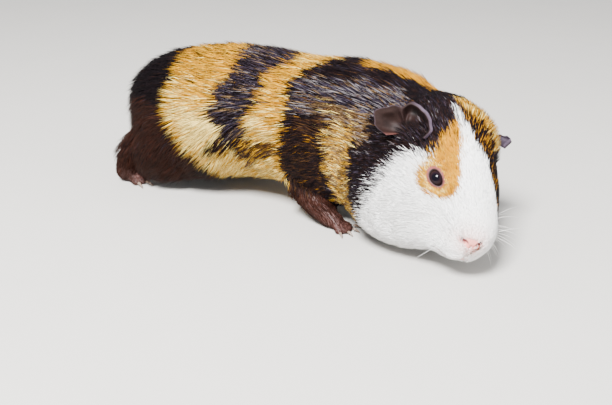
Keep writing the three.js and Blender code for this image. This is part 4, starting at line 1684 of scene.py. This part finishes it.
class GUINEA_PIG_OT_whiskers(bpy.types.Operator):
    """Plants stiff white whiskers on both sides of the muzzle"""

    bl_idname = "guinea_pig.whiskers"
    bl_label = "Plant the Whiskers"

    def execute(self, context):
        face = context.scene.guinea_pig_face
        rng = np.random.default_rng(context.scene.guinea_pig_coat.seed + 1)
        skin = bpy.data.objects["skin"]
        tree = surface_of(skin.data)
        starts, ways, sizes = [], [], []
        for side, row, place in itertools.product(SIDES, range(ROWS), range(IN_ROW)):
            spot = on_side(np.array(FIRST_WHISKER) - [NEXT_IN_ROW * place, 0, NEXT_ROW * row], side)
            spot = spot + rng.normal(0, 0.5, 3)
            hit = tree.find_nearest(Vector(from_head(spot) * MM))[0]
            starts.append(np.array(hit) / MM)
            way = np.array([0.3 - 0.16 * place, side, 0.3 - 0.22 * row]) + rng.normal(0, 0.12, 3)
            ways.append(unit(way) @ HEAD_AXES.T)
            sizes.append(face.whisker * rng.uniform(0.45, 1.0) * (0.7 + 0.07 * place))
        mesh = bpy.data.meshes.new("whisker_roots")
        mesh.from_pydata((np.array(starts) * MM).tolist(), [], [])
        put(mesh, "way", "FLOAT_VECTOR", "POINT", np.array(ways))
        put(mesh, "reach", "FLOAT", "POINT", np.array(sizes) * MM)
        piece = new_object("whiskers", mesh)
        grow(piece, whisker_tree(), Thickness=THICKNESS * MM, Droop=DROOP, Hair=whisker_material())
        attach(piece, "root")
        return {"FINISHED"}


def whisker_tree():
    """A tapering bent tube on each point, along that point's way."""
    tree, given = new_tree("Whiskers", ("Thickness", "Droop"))
    line = add_node(tree, "GeometryNodeCurvePrimitiveLine", {}, {"End": (0.0, 0.0, 1.0)})
    line = add_node(tree, "GeometryNodeResampleCurve", {}, {"Curve": line.outputs[0], "Count": 9})

    marks = {}
    for name, kind in (("way", "FLOAT_VECTOR"), ("reach", "FLOAT")):
        node = add_node(tree, "GeometryNodeInputNamedAttribute", {"data_type": kind}, {"Name": name})
        marks[name] = next(s for s in node.outputs if s.name == "Attribute" and s.enabled)
    turn = add_node(tree, "FunctionNodeAlignRotationToVector", {"axis": "Z"}, {"Vector": marks["way"]})
    stood = add_node(
        tree,
        "GeometryNodeInstanceOnPoints",
        {},
        {
            "Points": given["Roots"],
            "Instance": line.outputs[0],
            "Rotation": turn.outputs[0],
            "Scale": marks["reach"],
        },
    )
    real = add_node(tree, "GeometryNodeRealizeInstances", {}, {0: stood.outputs[0]})
    along = add_node(tree, "GeometryNodeSplineParameter").outputs["Factor"]
    square = add_node(tree, "ShaderNodeMath", {"operation": "MULTIPLY"}, {0: along, 1: along})
    sag = square
    for factor in (given["Droop"], marks["reach"]):
        sag = add_node(tree, "ShaderNodeMath", {"operation": "MULTIPLY"}, {0: sag.outputs[0], 1: factor})
    down = add_node(
        tree, "ShaderNodeVectorMath", {"operation": "SCALE"}, {0: (-0.5, 0.0, -1.0), "Scale": sag.outputs[0]}
    )
    bent = add_node(
        tree, "GeometryNodeSetPosition", {}, {"Geometry": real.outputs[0], "Offset": down.outputs[0]}
    )
    taper = add_node(
        tree, "ShaderNodeMapRange", {}, {"Value": along, "From Max": 1.0, "To Min": 1.0, "To Max": 0.12}
    )
    radius = add_node(
        tree, "ShaderNodeMath", {"operation": "MULTIPLY"}, {0: taper.outputs[0], 1: given["Thickness"]}
    )
    bent = add_node(
        tree, "GeometryNodeSetCurveRadius", {}, {"Curve": bent.outputs[0], "Radius": radius.outputs[0]}
    )
    ring = add_node(tree, "GeometryNodeCurvePrimitiveCircle", {}, {"Resolution": 6, "Radius": 1.0})
    thin = add_node(tree, "GeometryNodeInputRadius")
    tube = add_node(
        tree,
        "GeometryNodeCurveToMesh",
        {},
        {
            "Curve": bent.outputs[0],
            "Profile Curve": ring.outputs[0],
            "Scale": thin.outputs[0],
            "Fill Caps": True,
        },
    )
    real = add_node(tree, "GeometryNodeRealizeInstances", {}, {0: tube.outputs[0]})
    done = add_node(
        tree, "GeometryNodeSetMaterial", {}, {"Geometry": real.outputs[0], "Material": given["Hair"]}
    )
    add_node(tree, "NodeGroupOutput", {}, {0: done.outputs[0]})
    return tree


# ---- Panel and registration ----

MAKERS = (
    GUINEA_PIG_OT_studio,
    GUINEA_PIG_OT_skin,
    GUINEA_PIG_OT_eyes,
    GUINEA_PIG_OT_claws,
    GUINEA_PIG_OT_coat,
    GUINEA_PIG_OT_whiskers,
)


GROUPS = {
    "guinea_pig_coat": GuineaPigCoat,
    "guinea_pig_face": GuineaPigFace,
    "guinea_pig_studio": GuineaPigStudio,
}


class GUINEA_PIG_PT_panel(bpy.types.Panel):
    """Lists the steps that make the guinea pig, and its settings"""

    bl_label = "Guinea Pig"
    bl_idname = "GUINEA_PIG_PT_panel"
    bl_space_type = "VIEW_3D"
    bl_region_type = "UI"
    bl_category = "Guinea Pig"

    def draw(self, context):
        for maker in MAKERS:
            self.layout.operator(maker.bl_idname)
        for group in GROUPS:
            settings = getattr(context.scene, group)
            for name in settings.__annotations__:
                self.layout.prop(settings, name)


def register():
    for kind in (*GROUPS.values(), *MAKERS, GUINEA_PIG_PT_panel):
        bpy.utils.register_class(kind)
    for name, kind in GROUPS.items():
        setattr(bpy.types.Scene, name, PointerProperty(type=kind))


def unregister():
    for name in GROUPS:
        delattr(bpy.types.Scene, name)
    for kind in (GUINEA_PIG_PT_panel, *reversed(MAKERS), *GROUPS.values()):
        bpy.utils.unregister_class(kind)


def main():
    register()
    bpy.ops.guinea_pig.studio()
    bpy.ops.guinea_pig.skin()
    bpy.ops.guinea_pig.eyes()
    bpy.ops.guinea_pig.claws()
    bpy.ops.guinea_pig.coat()
    bpy.ops.guinea_pig.whiskers()


if __name__ == "__main__":
    main()
